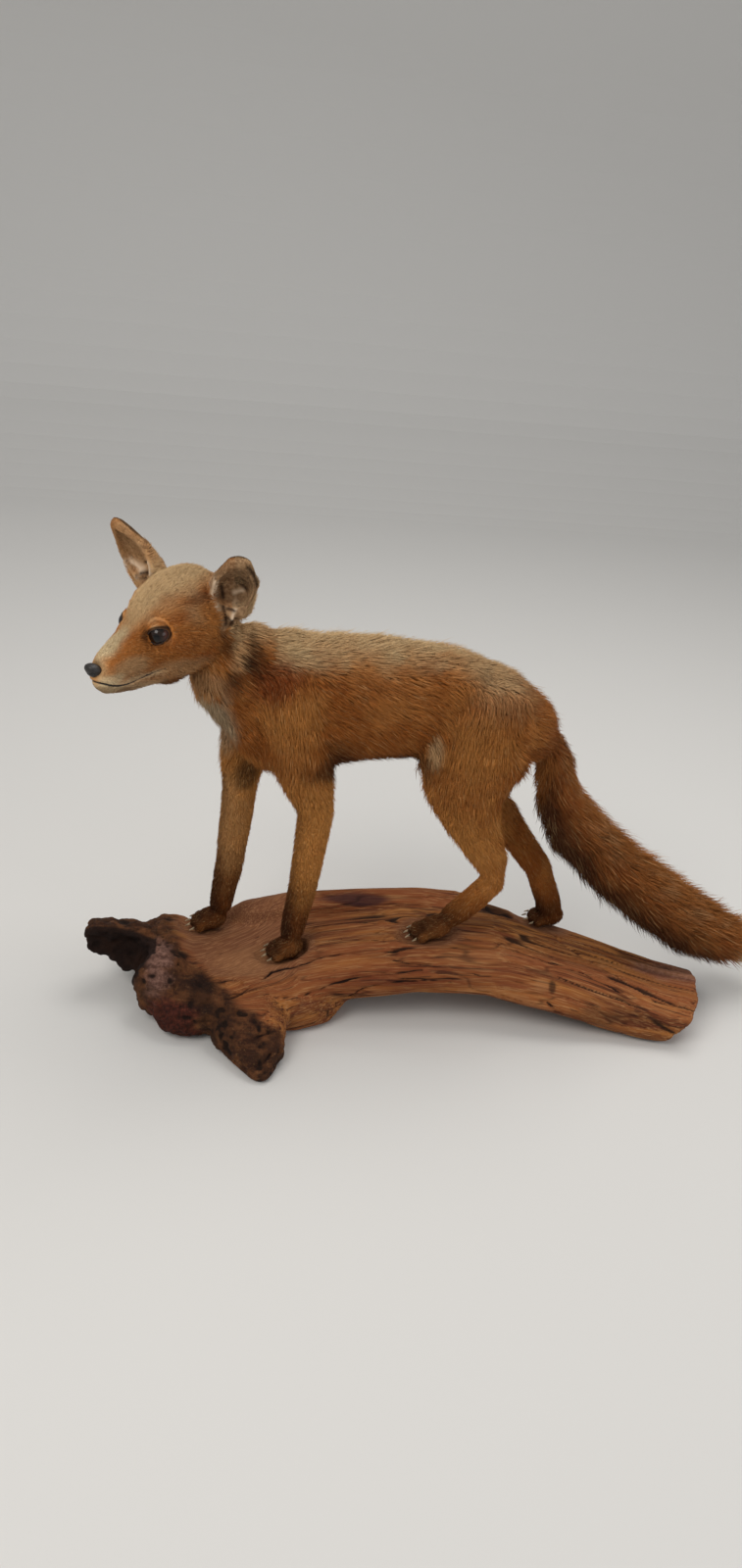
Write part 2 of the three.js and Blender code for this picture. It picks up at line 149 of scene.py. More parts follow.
softbox("key", (-1.3, -1.2, 2.0), (0, 0, 0.25), (1.3, 1.0), 26, (1.0, 0.97, 0.93))
softbox("top", (0.4, 0.5, 2.1), (0, 0, 0.25), (1.6, 1.2), 20, (1.0, 0.98, 0.95))
softbox("fill", (1.9, -1.3, 1.0), (0, 0, 0.2), (1.2, 1.2), 8, (0.93, 0.96, 1.0))


# ---- Driftwood --------------------------------------------------------------------------------
# One weathered, barkless length of a root or limb, reddish brown. Its grain runs along the arch
# with long drying cracks; the left end is a rough burl with a hollow, broken stub.

def dye(code):
    """A colour code as the linear values that shaders take."""
    parts = np.array([int(code[i:i + 2], 16) for i in (1, 3, 5)]) / 255
    return (*np.where(parts > 0.04045, ((parts + 0.055) / 1.055) ** 2.4, parts / 12.92), 1.0)


class Socket:
    """An output in a material's nodes that can be added, multiplied and raised like a number."""

    def __init__(self, tree, output):
        self.tree, self.output = tree, output

    def node(self, kind, settings, sockets, out=0):
        made = self.tree.nodes.new("ShaderNode" + kind)
        for name, value in settings.items():
            setattr(made, name, value)
        for name, value in sockets.items():
            if isinstance(value, Socket):
                self.tree.links.new(value.output, made.inputs[name])
            else:
                made.inputs[name].default_value = value
        return Socket(self.tree, made.outputs[out])

    def maths(self, operation, *values):
        return self.node("Math", {"operation": operation}, dict(enumerate(values)))

    def __add__(self, other):
        return self.maths("ADD", self, other)

    def __radd__(self, other):
        return self.maths("ADD", other, self)

    def __sub__(self, other):
        return self.maths("SUBTRACT", self, other)

    def __rsub__(self, other):
        return self.maths("SUBTRACT", other, self)

    def __mul__(self, other):
        return self.maths("MULTIPLY", self, other)

    def __rmul__(self, other):
        return self.maths("MULTIPLY", other, self)

    def rise(self, low, high):
        """0 under low, 1 over high, and smooth between them."""
        return self.node("MapRange", {"interpolation_type": "SMOOTHSTEP"},
                         {"Value": self, "From Min": low, "From Max": high})

    def stretched(self, scale):
        return self.node("Mapping", {}, {"Vector": self, "Scale": scale})

    def noise(self, scale, detail=3.0, rough=0.55):
        return self.node("TexNoise", {}, {"Vector": self, "Scale": scale, "Detail": detail,
                                          "Roughness": rough})

    def mixed(self, below, above):
        """Colour below where this is 0 and colour above where it is 1."""
        return self.node("Mix", {"data_type": "RGBA"}, {0: self, 6: below, 7: above}, out=2)

    def into(self, shader, name):
        self.tree.links.new(self.output, shader.inputs[name])

    def bump(self, shader, strength, depth):
        raised = self.node("Bump", {}, {"Height": self, "Strength": strength, "Distance": depth})
        raised.into(shader, "Normal")


def new_finish(name, **fixed):
    """A material with its shader and its Object coordinates."""
    finish = bpy.data.materials.new(name)
    finish.use_nodes = True
    tree = finish.node_tree
    shader = tree.nodes["Principled BSDF"]
    for socket, value in fixed.items():
        shader.inputs[socket.replace("_", " ")].default_value = value
    coordinates = tree.nodes.new("ShaderNodeTexCoord")
    return finish, shader, Socket(tree, coordinates.outputs["Object"])


def ripple(places, size, seed=0):
    """Smooth noise from -1 to 1, in lumps about size across, over an array of places."""
    at = np.asarray(places, float) / size + 13.7 * (seed + 1)
    cell = np.floor(at).astype(np.int64)
    part = at - cell
    part = part * part * (3 - 2 * part)
    total = np.zeros(len(at))
    for corner in range(8):
        step = np.array([corner & 1, corner >> 1 & 1, corner >> 2 & 1])
        key = (cell + step) @ np.array([73856093, 19349663, 83492791]) & 0x7FFFFFFF
        key = (key ^ key >> 13) * 1274126177 & 0x7FFFFFFF
        key = (key ^ key >> 15) & 0xFFFF
        total += (key / 32767.5 - 1) * np.prod(np.where(step, part, 1 - part), axis=1)
    return total


def smooth(value, low, high):
    share = np.clip((value - low) / (high - low), 0, 1)
    return share * share * (3 - 2 * share)


def far_from(places, middle, reach):
    """How far each place lies from the middle, where 1 is the reach that way."""
    return np.linalg.norm((places - middle) / reach, axis=1)


def mound(places, middle, reach):
    """1 at the middle, falling away softly by about the reach each way."""
    return np.exp(-np.sum(((places - middle) / reach) ** 2, axis=1))


def corners_of(mesh, what="co"):
    """The corners' places, or the ways that they face, as an array."""
    found = np.zeros(len(mesh.vertices) * 3, np.float32)
    mesh.vertices.foreach_get(what, found)
    return found.reshape(-1, 3).astype(float)


def settle(mesh, places):
    mesh.vertices.foreach_set("co", np.asarray(places, np.float32).ravel())
    mesh.update()


def note(mesh, name, values):
    """Keeps one number, or three, for each corner, under a name that a material can read."""
    values = np.asarray(values, np.float32)
    kind = "FLOAT" if values.ndim == 1 else "FLOAT_VECTOR"
    layer = mesh.attributes.new(name, kind, "POINT")
    layer.data.foreach_set("value" if values.ndim == 1 else "vector", values.ravel())


def new_piece(name, mesh, finish, slot, *nodes):
    """An object that rides on the model's one body and stands for the nodes it replaces."""
    piece = bpy.data.objects.new(name, mesh)
    bpy.context.scene.collection.objects.link(piece)
    mesh.name = name
    mesh.materials.clear()
    mesh.materials.append(finish)
    mesh.polygons.foreach_set("use_smooth", np.ones(len(mesh.polygons), bool))
    mesh.update()
    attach(piece, "root")
    if nodes:
        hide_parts(*nodes)


def solid_of(nodes, grow=0.0):
    """The nodes' solids, each grown a little so that they overlap, in one loose mesh."""
    whole = bmesh.new()
    for name in nodes:
        whole.from_mesh(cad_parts[name].data)
    bmesh.ops.remove_doubles(whole, verts=whole.verts, dist=0.02 * mm)
    whole.normal_update()
    for vert in whole.verts:
        vert.co += vert.normal * grow
    mesh = bpy.data.meshes.new("solid")
    whole.to_mesh(mesh)
    whole.free()
    return mesh


def remade(mesh, voxel, rounds):
    """A mesh wrapped again in even faces and then smoothed a number of rounds."""
    holder = bpy.data.objects.new("holder", mesh)
    bpy.context.scene.collection.objects.link(holder)
    wrap = holder.modifiers.new("wrap", "REMESH")
    wrap.mode = "VOXEL"
    wrap.voxel_size = voxel
    soften = holder.modifiers.new("soften", "SMOOTH")
    soften.iterations = rounds
    soften.factor = 0.5
    graph = bpy.context.evaluated_depsgraph_get()
    made = bpy.data.meshes.new_from_object(holder.evaluated_get(graph))
    bpy.data.objects.remove(holder)
    return made


# The outline is wrapped twice, so that its lumps flow into each other, and is softened again
# round each foot, where the wood was dished to take the sole.
wood_mesh = remade(remade(solid_of(["driftwood"]), 3 * mm, 7), (1.9) * mm, 2)
soles_at = [(112, -24, 66), (32, 24, 68), (270, -26, 93), (418, 28, 71)]
soles = bmesh.new()
soles.from_mesh(wood_mesh)
wood_places = to_body(corners_of(wood_mesh))
by_feet = np.zeros(len(wood_places))
for sole in soles_at:
    by_feet = np.maximum(by_feet, smooth(-far_from(wood_places, sole, (46, 32, 26)), -1.0, -0.7))
soles.verts.ensure_lookup_table()
dished = [soles.verts[i] for i in np.flatnonzero(by_feet > 0.05)]
flare = far_from(wood_places, (105, -84, 34), (60, 34, 26))
flared = [soles.verts[i] for i in np.flatnonzero((flare < 1) & (wood_places[:, 2] > 6))]
for verts, rounds in ((dished, 14), (flared, 16)):
    for _ in range(rounds):
        bmesh.ops.smooth_vert(soles, verts=verts, factor=0.5, use_axis_x=True, use_axis_y=True,
                              use_axis_z=True)
soles.to_mesh(wood_mesh)
soles.free()
wood_places = to_body(corners_of(wood_mesh))
wood_out = corners_of(wood_mesh, "normal")
along, beside, over = wood_places.T

# The grain follows the middle line of the arch: how high it runs and how far it swings. By the
# front feet it runs aslant towards the far side.
arch_x = [-100, -46, 30, 88, 150, 215, 285, 350, 415, 475, 530, 600]
arch_z = [66, 44, 38, 36, 46, 56, 58, 54, 43, 30, 22, 22]
arch_y = [-6, 2, -8, -8, -6, -9, -6, -12, -24, -38, -58, -82]
grain = np.stack([along, beside - np.interp(along, arch_x, arch_y),
                  over - np.interp(along, arch_x, arch_z)], axis=1)
grain[:, 1] -= 0.7 * np.clip(along - 125, -110, 0) * smooth(over, 44, 60)
grain[:, 1] += 6 * ripple(grain, (80, 120, 120), 1)
grain[:, 2] += 6 * ripple(grain, (80, 120, 120), 2)

# Burled at the left and down the front foot, worn smooth between the front feet, grained beyond.
edge_of_burl = np.interp(beside, [-125, -94, -64, -48, -14, 40, 90], [100, 52, 34, 15, -4, -12, -24])
edge_of_burl = edge_of_burl + 7 * ripple(wood_places, (16, 14, 14), 11) + 0.5 * np.maximum(40 - over, 0)
burled = smooth(edge_of_burl - along, -10, 8)
worn = smooth(along - edge_of_burl, -2, 14) * (1 - smooth(along, 100, 165)) * smooth(over, 46, 56)
worn *= smooth(beside, -74, -56)
worn = np.maximum(worn, by_feet)

# Drying cracks, each with half its width, its depth and its course.
cracks = [
    (1.5, 4.5, [(422, 18, 64), (425, -7, 67), (436, -23, 65), (451, -37, 62), (468, -51, 59),
                (483, -64, 56), (495, -75, 54), (505, -86, 50), (515, -94, 47), (534, -100, 45),
                (565, -95, 46), (600, -88, 46)]),
    (1.1, 3.0, [(352, -49, 83), (374, -53, 78), (399, -60, 72), (424, -63, 67), (443, -71, 62),
                (459, -79, 58), (482, -89, 52), (499, -95, 49)]),
    (2.2, 4.0, [(393, -96, 44), (408, -103, 34), (424, -108, 26), (446, -112, 21), (480, -116, 17),
                (518, -118, 16)]),
    (1.7, 4.0, [(46, -94, 51), (60, -92, 54), (74, -77, 55), (96, -58, 59), (113, -56, 63),
                (132, -54, 67), (147, -48, 72), (181, -47, 77), (228, -53, 83), (253, -53, 87),
                (273, -51, 87)]),
    (1.0, 2.5, [(126, -9, 69), (151, 1, 77), (176, 0, 81), (205, -2, 85), (235, -4, 90), (248, -4, 91)]),
    (1.7, 4.0, [(108, -84, 43), (131, -80, 45), (155, -79, 53), (179, -75, 62), (203, -75, 66),
                (231, -75, 69), (255, -74, 73)]),
    (1.3, 3.0, [(170, -73, 28), (192, -78, 50), (215, -80, 60), (255, -81, 63), (287, -83, 63)]),
    (1.2, 3.0, [(224, -64, 77), (238, -65, 77), (267, -71, 75), (296, -75, 72), (320, -79, 68),
                (339, -81, 67), (373, -84, 62)]),
    (1.0, 1.6, [(42, -31, 62), (67, -9, 62), (87, 4, 63), (107, 16, 67)]),
    (0.8, 1.4, [(61, -49, 58), (86, -20, 55), (104, -8, 56)]),
    (2.0, 4.5, [(71, -138, 30), (82, -132, 34), (94, -126, 35)]),
    (2.0, 4.0, [(67, -154, 9), (77, -160, 17), (86, -157, 20), (93, -148, 24)]),
    (2.6, 5.0, [(42, -69, 53), (58, -70, 54)]),
]
# Each crack is cut into the wood, and the same mark paints it dark: painted shade inside the crack.
shade_in_cracks = np.zeros(len(wood_places))
cut = np.zeros(len(wood_places))
for half_width, crack_depth, course in cracks:
    course = np.array(course, float)
    near_box = np.all((wood_places > course.min(axis=0) - 14) & (wood_places < course.max(axis=0) + 14),
                      axis=1)
    close = wood_places[near_box]
    close = close + 1.6 * np.stack([ripple(close, 11, seed) for seed in (51, 52, 53)], axis=1)
    gap = np.full(len(close), 99.0)
    for begin, end in zip(course, course[1:]):
        stretch = end - begin
        t = np.clip((close - begin) @ stretch / (stretch @ stretch), 0, 1)
        gap = np.minimum(gap, np.linalg.norm(close - begin - t[:, None] * stretch, axis=1))
    broken = 0.72 + 0.5 * ripple(close, (16, 7, 7), 57)
    mark = np.exp(-(np.maximum(gap - 0.5, 0) / (0.8 * half_width)) ** 2) * np.clip(broken, 0.4, 1)
    shade_in_cracks[near_box] = np.maximum(shade_in_cracks[near_box], mark)
    cut[near_box] = np.maximum(cut[near_box], crack_depth * mark)

# Patches of the wood: the dye, the middle, the reach each way and the strength.
wood_patches = [
    ("ashen", (-20, -48, 60), (16, 40, 34), 0.9),         # weathered column at the left of the burl
    ("dark", (-12, -100, 24), (30, 26, 22), 0.55),
    ("red", (-10, -98, 26), (34, 30, 24), 0.8),
    ("dark", (24, -80, 46), (16, 26, 24), 0.6),
    ("dark", (48, -112, 30), (22, 26, 18), 0.5),
    ("purple", (200, 37, 91), (38, 9, 9), 0.85),          # stained streak on top
    ("dark", (357, 32, 82), (24, 12, 12), 0.9),           # knot-hole behind the hind foot, sunk and painted dark: painted shade in the hole
    # painted shade in the wide crack at the front of the burl
    ("dark", (50, -70, 53), (11, 4, 6), 0.9),
    ("pale", (386, -86, 60), (8, 7, 8), 0.8),             # small knot
    ("dark", (398, -87, 58), (4, 6, 9), 0.8),
    ("red", (270, -78, 66), (110, 12, 14), 0.5),
    ("red", (190, -78, 60), (60, 16, 16), 0.5),
    ("dark", (470, -100, 30), (80, 14, 12), 0.45),
    ("pale", (80, -40, 58), (44, 26, 12), 0.7),           # worn between the front feet
    ("pale", (310, -60, 76), (50, 9, 9), 0.5),
    ("ashen", (560, -40, 46), (60, 22, 12), 0.6),
]
patch_dyes = ("pale", "red", "ashen", "purple", "dark")
untouched = {name: np.ones(len(wood_places)) for name in patch_dyes}
torn = 0.22 * ripple(wood_places, (16, 9, 9), 54) + 0.16 * ripple(grain, (30, 5, 5), 55)
for name, middle, reach, strength in wood_patches:
    far = far_from(wood_places, middle, reach) + torn
    untouched[name] *= 1 - strength * smooth(-far, -1.25, -0.6)
# A pale flake has lifted along the lower front.
flake = np.array([(300, -80, 52), (318, -83, 54), (340, -85, 54), (359, -90, 49), (376, -95, 42),
                  (398, -100, 36)], float)
flake_y, flake_z = (np.interp(along, flake[:, 0], row) for row in flake.T[1:])
flaked = np.exp(-((over - flake_z) / 2.4) ** 2) * (np.abs(beside - flake_y) < 16)
flaked *= (along > 296) * (along < 402)
untouched["pale"] *= 1 - 0.85 * flaked
# Inside the broken stub the wood is rotten and almost black.
stub_y, stub_z, stub_w = (np.interp(along, [-122, -90, -60, -26], row) for row in
                          ((-26, -26, -28, -30), (66, 64, 60, 50), (22, 24, 27, 24)))
in_stub = np.hypot((beside - stub_y) / stub_w, (over - stub_z) / np.where(over > stub_z, 23, 31))
rotten = smooth(-in_stub, -1.2, -1.06) * (along < -24)
untouched["dark"] *= 1 - rotten

flutes = ripple(grain, (170, 15, 15), 3) + 0.5 * ripple(grain, (110, 7, 7), 4)
fibres = ripple(grain, (55, 3.6, 3.6), 5)
split = 1 - smooth(np.abs(ripple(grain, (150, 17, 17), 6)), 0.0, 0.11)
split *= smooth(ripple(grain, (60, 40, 40), 7), -0.1, 0.25)
split = np.maximum(split, 0.5 * (1 - smooth(np.abs(ripple(grain, (90, 8, 8), 12)), 0.0, 0.13)))
split *= 1 - 0.85 * smooth(-along, -172, -140) * smooth(-over, -54, -42)
lumps = ripple(wood_places, (24, 17, 15), 8) + 0.6 * ripple(wood_places, (10, 8, 8), 9)
rubble = 2.0 * ripple(wood_places, (22, 15, 14), 10) + 2.4 * ripple(wood_places, (10, 7, 6.5), 13)
rubble += 2.0 * ripple(wood_places, (5, 3.8, 3.5), 14)
crags = smooth(-rubble, 0.4, 2.6)
calm = 1 - 0.85 * worn
depth = (1 - burled) * calm * (1.5 * flutes + 0.5 * fibres - 2.4 * split)
depth += burled * (1 - 0.8 * by_feet) * (1.1 * lumps + rubble)
depth += 1.8 * (1 - untouched["pale"]) * mound(wood_places, (386, -86, 60), 8)
knot_hole = smooth(-far_from(wood_places, (357, 32, 82), (20, 9, 10)), -1.1, -0.4)
depth -= cut * (1 - 0.7 * by_feet) + 5.0 * knot_hole
footed = smooth(over, 2.5, 9)
depth = np.clip(depth, -6.0, 2.4) * footed
settle(wood_mesh, corners_of(wood_mesh) + wood_out * depth[:, None] * mm)
note(wood_mesh, "grain", grain * mm)
# Painted shade: the sunk grooves of the grain and the hollows of the burl are kept so that the wood can be
# darkened in them.
note(wood_mesh, "crevice_shade", np.clip(np.maximum((1 - burled) * split * calm, 0.9 * burled * crags), 0, 1))
note(wood_mesh, "crack_shade", shade_in_cracks)
note(wood_mesh, "burled", burled)
note(wood_mesh, "worn", worn)
for name, left in untouched.items():
    note(wood_mesh, name, 1 - left)

wood_finish, wood_shader, spot = new_finish("weathered_driftwood", Specular_IOR_Level=0.16)


def noted(start, name, out="Fac"):
    """A number or a place that was kept on the mesh under this name."""
    return start.node("Attribute", {"attribute_name": name}, {}, out=out)


run = noted(spot, "grain", "Vector")
streak = run.stretched((9, 95, 95)).noise(1.0, 5, 0.6)
band = run.stretched((3, 30, 30)).noise(1.0, 3, 0.5)
lines = run.stretched((7, 230, 230)).noise(1.0, 4, 0.6)
fine = run.stretched((30, 700, 700)).noise(1.0, 3, 0.6)
mottle = spot.noise(60, 5, 0.65)
speckle = spot.noise(260, 4, 0.7)
tone = streak.rise(0.34, 0.66).mixed(dye("#582b18"), dye("#98602f"))
tone = band.rise(0.42, 0.66).mixed(tone, dye("#7d4526"))
tone = (fine.rise(0.45, 0.72) * 0.55).mixed(tone, dye("#b08355"))
tone = (noted(spot, "red") * 0.7).mixed(tone, dye("#5a2413"))
tone = (lines.rise(0.56, 0.64) * 0.75).mixed(tone, dye("#35190e"))
worn_tone = fine.rise(0.4, 0.7).mixed(dye("#67402a"), dye("#8f6344"))
worn_tone = (lines.rise(0.6, 0.68) * 0.5).mixed(worn_tone, dye("#4c2817"))
tone = (noted(spot, "worn") * 0.85).mixed(tone, worn_tone)
bark = mottle.rise(0.4, 0.66).mixed(dye("#24130c"), dye("#5a3720"))
bark = (speckle.rise(0.58, 0.72) * 0.45).mixed(bark, dye("#8a6440"))
tone = (noted(spot, "burled") * 0.92).mixed(tone, bark)
red_tone = speckle.rise(0.35, 0.65).mixed(dye("#32120d"), dye("#6b2f22"))
tone = (noted(spot, "burled") * noted(spot, "red")).mixed(tone, red_tone)
ashen = (streak * 0.5 + speckle * 0.5).rise(0.4, 0.62).mixed(dye("#553a31"), dye("#8b675a"))
tone = noted(spot, "ashen").mixed(tone, ashen)
tone = (noted(spot, "pale") * 0.4).mixed(tone, dye("#a0714a"))
tone = noted(spot, "purple").mixed(tone, dye("#3b2020"))
tone = (noted(spot, "dark") * 0.92).mixed(tone, dye("#180c08"))
# Painted shade in the grain's grooves and the burl's hollows.
tone = (noted(spot, "crevice_shade").rise(0.12, 0.85) * 0.9).mixed(tone, dye("#180d08"))
# Painted shade inside the cracks.
tone = noted(spot, "crack_shade").rise(0.35, 0.8).mixed(tone, dye("#1f0f09"))
tone.into(wood_shader, "Base Color")
(0.74 + 0.2 * mottle).into(wood_shader, "Roughness")
(streak * 0.5 + lines * 0.5 + fine * 0.5 + speckle * noted(spot, "burled") * 1.8).bump(
    wood_shader, 0.8, 1.4 * mm)
new_piece("driftwood_log", wood_mesh, wood_finish, "driftwood", "driftwood")


# ---- Eyes -------------------------------------------------------------------------------------
# Two glass eyes, dark brown to black with a faint warm ring, set in the form before the skin
# is drawn over them. Each is a full ball; the lids show only its front.

eye_radius = 10.3
gaze = {side: unit(np.array([-0.78, side * 0.62, 0.06])) for side in (-1, 1)}
eye_seat = {-1: np.array([-1.6, -20.6, 0.0]), 1: np.array([-1.6, 20.6, 0.0])}


def along_gaze(side):
    """The eye's own axes on the head: outward, towards the tail, and up."""
    outward = gaze[side]
    up = unit(np.array([0.0, 0.0, 1.0]) - outward[2] * outward)
    back = np.cross(up, outward)
    if back[0] < 0:
        back = -back
    return outward, back, up


for side, name in ((-1, "left"), (1, "right")):
    ball = bmesh.new()
    bmesh.ops.create_uvsphere(ball, u_segments=48, v_segments=32, radius=eye_radius)
    outward, back, up = along_gaze(side)
    round_ball = np.array([vert.co[:] for vert in ball.verts])
    bulge = smooth(round_ball[:, 2] / eye_radius, 0.72, 1.0)
    turned = round_ball[:, :1] * back + round_ball[:, 1:2] * up + round_ball[:, 2:] * outward
    turned += bulge[:, None] * 0.5 * outward
    for vert, place in zip(ball.verts, on_head(turned + eye_seat[side])):
        vert.co = place
    bmesh.ops.recalc_face_normals(ball, faces=ball.faces)
    eye_mesh = bpy.data.meshes.new("eye")
    ball.to_mesh(eye_mesh)
    ball.free()
    off_centre = np.linalg.norm(np.cross(round_ball, (0, 0, 1)), axis=1) / eye_radius
    note(eye_mesh, "off_centre", np.where(round_ball[:, 2] > 0, off_centre, 1.0))
    note(eye_mesh, "corner", smooth(round_ball[:, 0] / eye_radius, 0.42, 0.8))
    glass, glass_shader, spot = new_finish(f"glass_eye_{name}", Roughness=0.16, Coat_Weight=0.2,
                                           Coat_Roughness=0.05, Specular_IOR_Level=0.2)
    ring = noted(spot, "off_centre")
    flecks = spot.noise(900, 3)
    iris = (ring + 0.06 * flecks).rise(0.26, 0.42).mixed(dye("#050404"), dye("#21140d"))
    iris = ring.rise(0.55, 0.75).mixed(iris, dye("#0d0806"))
    iris = (noted(spot, "corner") * 0.8).mixed(iris, dye("#4a2314"))
    iris.into(glass_shader, "Base Color")
    new_piece(f"glass_eye_{name}", eye_mesh, glass, "glass_eye", f"eye_{name}")


# ---- Skin -------------------------------------------------------------------------------------
# The tanned skin, one piece from nose to tail tip, drawn over a hard foam form. It lies under
# the hair by the coat's depth and carries the same markings.

feet = ("front_left", "front_right", "hind_left", "hind_right")
front_parts = ("shoulder", "forearm", "paw")
hind_parts = ("thigh", "shank", "metatarsus", "paw")
limb_nodes = [f"{foot}_{part}" for foot in feet
              for part in (front_parts if foot.startswith("front") else hind_parts)]
torso_nodes = ["neck", "trunk", "tail_base", "tail_brush", "tail_tip"]
hip_nodes = [name for name in limb_nodes if name.endswith(("shoulder", "thigh"))]
coarse = 1.0

# Lengths of the body, each with its plan, the ends of its middle line, how far out its outline
# lies, the length of its hair, the depth of its coat, half the width of a tuft, tufts to the
# square millimetre and the coat piece that they belong to. The hair lies the way the line runs.
lengths = {
    "nose_bridge": ("head", (-66, 0, -20), (-20, 0, -10), 15, 4.4, 0.6, 0.2, 2.3, "face"),
    "chin": ("head", (-60, 0, -34), (-15, 0, -42), 13, 4.6, 0.7, 0.22, 2.0, "face"),
    "brow": ("head", (-20, 0, -4), (28, 0, 14), 30, 7, 1.1, 0.23, 1.8, "crown"),
    "crown": ("head", (28, 0, 10), (95, 0, 6), 42, 10, 2.6, 0.28, 1.3, "crown"),
    "cheek_left": ("head", (-14, -8, -16), (72, -26, -26), 28, 10, 2.8, 0.27, 1.5, "cheek_left"),
    "cheek_right": ("head", (-14, 8, -16), (72, 26, -26), 28, 10, 2.8, 0.27, 1.5, "cheek_right"),
    "throat": ("head", (-10, 0, -32), (70, 0, -38), 26, 12, 3.6, 0.33, 1.1, "throat"),
    "neck": ("body", (22, 7, 400), (96, 0, 350), 50, 20, 9.0, 0.46, 0.62, "neck"),
    "chest": ("body", (18, 4, 374), (44, 0, 280), 40, 19, 8.0, 0.46, 0.62, "chest"),
    "shoulders": ("body", (70, 0, 352), (150, 0, 346), 58, 20, 9.5, 0.46, 0.62, "withers"),
    "ribs": ("body", (150, 0, 350), (245, 0, 350), 56, 20, 9.5, 0.46, 0.62, "ribs"),
    "rump": ("body", (245, 0, 346), (350, 0, 322), 54, 20, 9.0, 0.46, 0.62, "rump"),
    "belly": ("body", (120, 0, 304), (270, 0, 306), 30, 16, 6.0, 0.44, 0.62, "belly"),
    "tail_root": ("body", (366, 0, 322), (396, 0, 244), 27, 21, 8.5, 0.43, 0.55, "tail_root"),
    "tail_bend": ("body", (396, 0, 244), (454, 0, 181), 36, 26, 13.5, 0.44, 0.55, "tail_root"),
    "tail_brush": ("body", (454, 0, 181), (538, 0, 117), 40, 29, 16.0, 0.45, 0.52, "brush"),
    "tail_full": ("body", (538, 0, 117), (625, 0, 68), 40, 29, 16.0, 0.45, 0.52, "brush_end"),
    "tail_tip": ("body", (625, 0, 68), (694, 0, 60), 28, 27, 13.0, 0.44, 0.58, "brush_end"),
}
for side, name in ((-1, "left"), (1, "right")):
    lengths[f"shoulder_{name}"] = ("body", (102, side * 32, 365), (115, side * 33, 290), 34, 17, 7.0,
                                   0.44, 0.65, f"shoulder_{name}")
reach_of_foot = {"front_left": (0, 58), "front_right": (75, 61)}
for foot, (stride, low) in reach_of_foot.items():
    side = -1 if foot.endswith("left") else 1
    piece = f"foreleg_{foot[6:]}"
    elbow = (130 - stride * 0.95, side * 32, 257)
    wrist = (127 - stride, side * 26.5, 145)
    heel = (120 - stride, side * 25, low + 22)
    toes = (88 - stride, side * 24, low + 8)
    lengths[f"{foot}_elbow"] = ("body", (115 - stride * 0.6, side * 33, 290), elbow, 26, 12, 4.5,
                                0.4, 0.68, piece)
    lengths[f"{foot}_forearm"] = ("body", elbow, wrist, 17, 9, 2.6, 0.34, 0.74, piece)
    lengths[f"{foot}_wrist"] = ("body", wrist, heel, 14.5, 7, 2.0, 0.32, 0.84, piece)
    lengths[f"{foot}_foot"] = ("body", heel, toes, 14, 6, 1.5, 0.3, 1.1, piece)
hind_runs = {
    "hind_left": [(300, 375), (287, 302), (288, 252), (313, 201), (333, 166), (296, 114), (244, 94)],
    "hind_right": [(300, 375), (298, 300), (318, 241), (372, 177), (396, 148), (420, 88), (400, 72)],
}
hind_coats = [("hip", 42, 19, 8.0, 0.46, 0.6), ("thigh", 40, 15, 6.0, 0.43, 0.58),
              ("stifle", 27, 12, 4.5, 0.4, 0.64), ("shank", 19, 10, 3.0, 0.36, 0.82),
              ("cannon", 15, 8, 2.1, 0.33, 0.9), ("foot", 14, 6, 1.5, 0.3, 1.1)]
hind_spread = (36, 37, 35, 31, 28, 27, 27)
for foot, run_of_leg in hind_runs.items():
    side = -1 if foot.endswith("left") else 1
    for i, (part, *coat) in enumerate(hind_coats):
        start, end = run_of_leg[i], run_of_leg[i + 1]
        piece = f"thigh_{foot[5:]}" if i < 3 else f"hindleg_{foot[5:]}"
        lengths[f"{foot}_{part}"] = ("body", (start[0], side * hind_spread[i], start[1]),
                                     (end[0], side * hind_spread[i + 1], end[1]), *coat, piece)
ear_plans = {"left": ((66, -40, -2), (-5, -25, 68)), "right": ((37, 35, 12), (-9, 27, 68))}
for name, (root, tip) in ear_plans.items():
    root, tip = np.array(root, float), np.array(tip, float)
    lengths[f"ear_{name}"] = ("head", root + 12 * unit(tip), root + 76 * unit(tip), 15, 4, 0.5, 0.22,
                              1.7, "ears")

names = list(lengths)
rows = list(lengths.values())
put = {"head": on_head, "body": on_body}
starts = np.array([put[row[0]](row[1]) for row in rows])
ends = np.array([put[row[0]](row[2]) for row in rows])
widths = np.array([row[3] for row in rows]) * mm
coats = np.array([row[4:8] for row in rows], float)
coat_names = sorted({row[8] for row in rows})
belongs = np.array([coat_names.index(row[8]) for row in rows])
ear_rows = [names.index("ear_left"), names.index("ear_right")]


def nearness(places, skip=()):
    """How much each length has to say at each place, the shares adding up to 1."""
    runs = ends - starts
    shares = np.zeros((len(places), len(rows)))
    for i, run_along in enumerate(runs):
        if i in skip:
            continue
        t = np.clip((places - starts[i]) @ run_along / (run_along @ run_along), 0, 1)
        away = np.linalg.norm(places - starts[i] - t[:, None] * run_along, axis=1)
        shares[:, i] = 1 / (0.05 + away / widths[i]) ** 7
    return shares / shares.sum(axis=1, keepdims=True)


def drawn_in(mesh):
    """Moves a mesh in from the tips of the coat to the skin under them."""
    places = corners_of(mesh)
    deep = nearness(places, ear_rows) @ coats[:, 1]
    settle(mesh, places - corners_of(mesh, "normal") * deep[:, None] * mm)
    return mesh


def joined(meshes):
    whole = bmesh.new()
    for mesh in meshes:
        whole.from_mesh(mesh)
    mesh = bpy.data.meshes.new("joined")
    whole.to_mesh(mesh)
    whole.free()
    return mesh


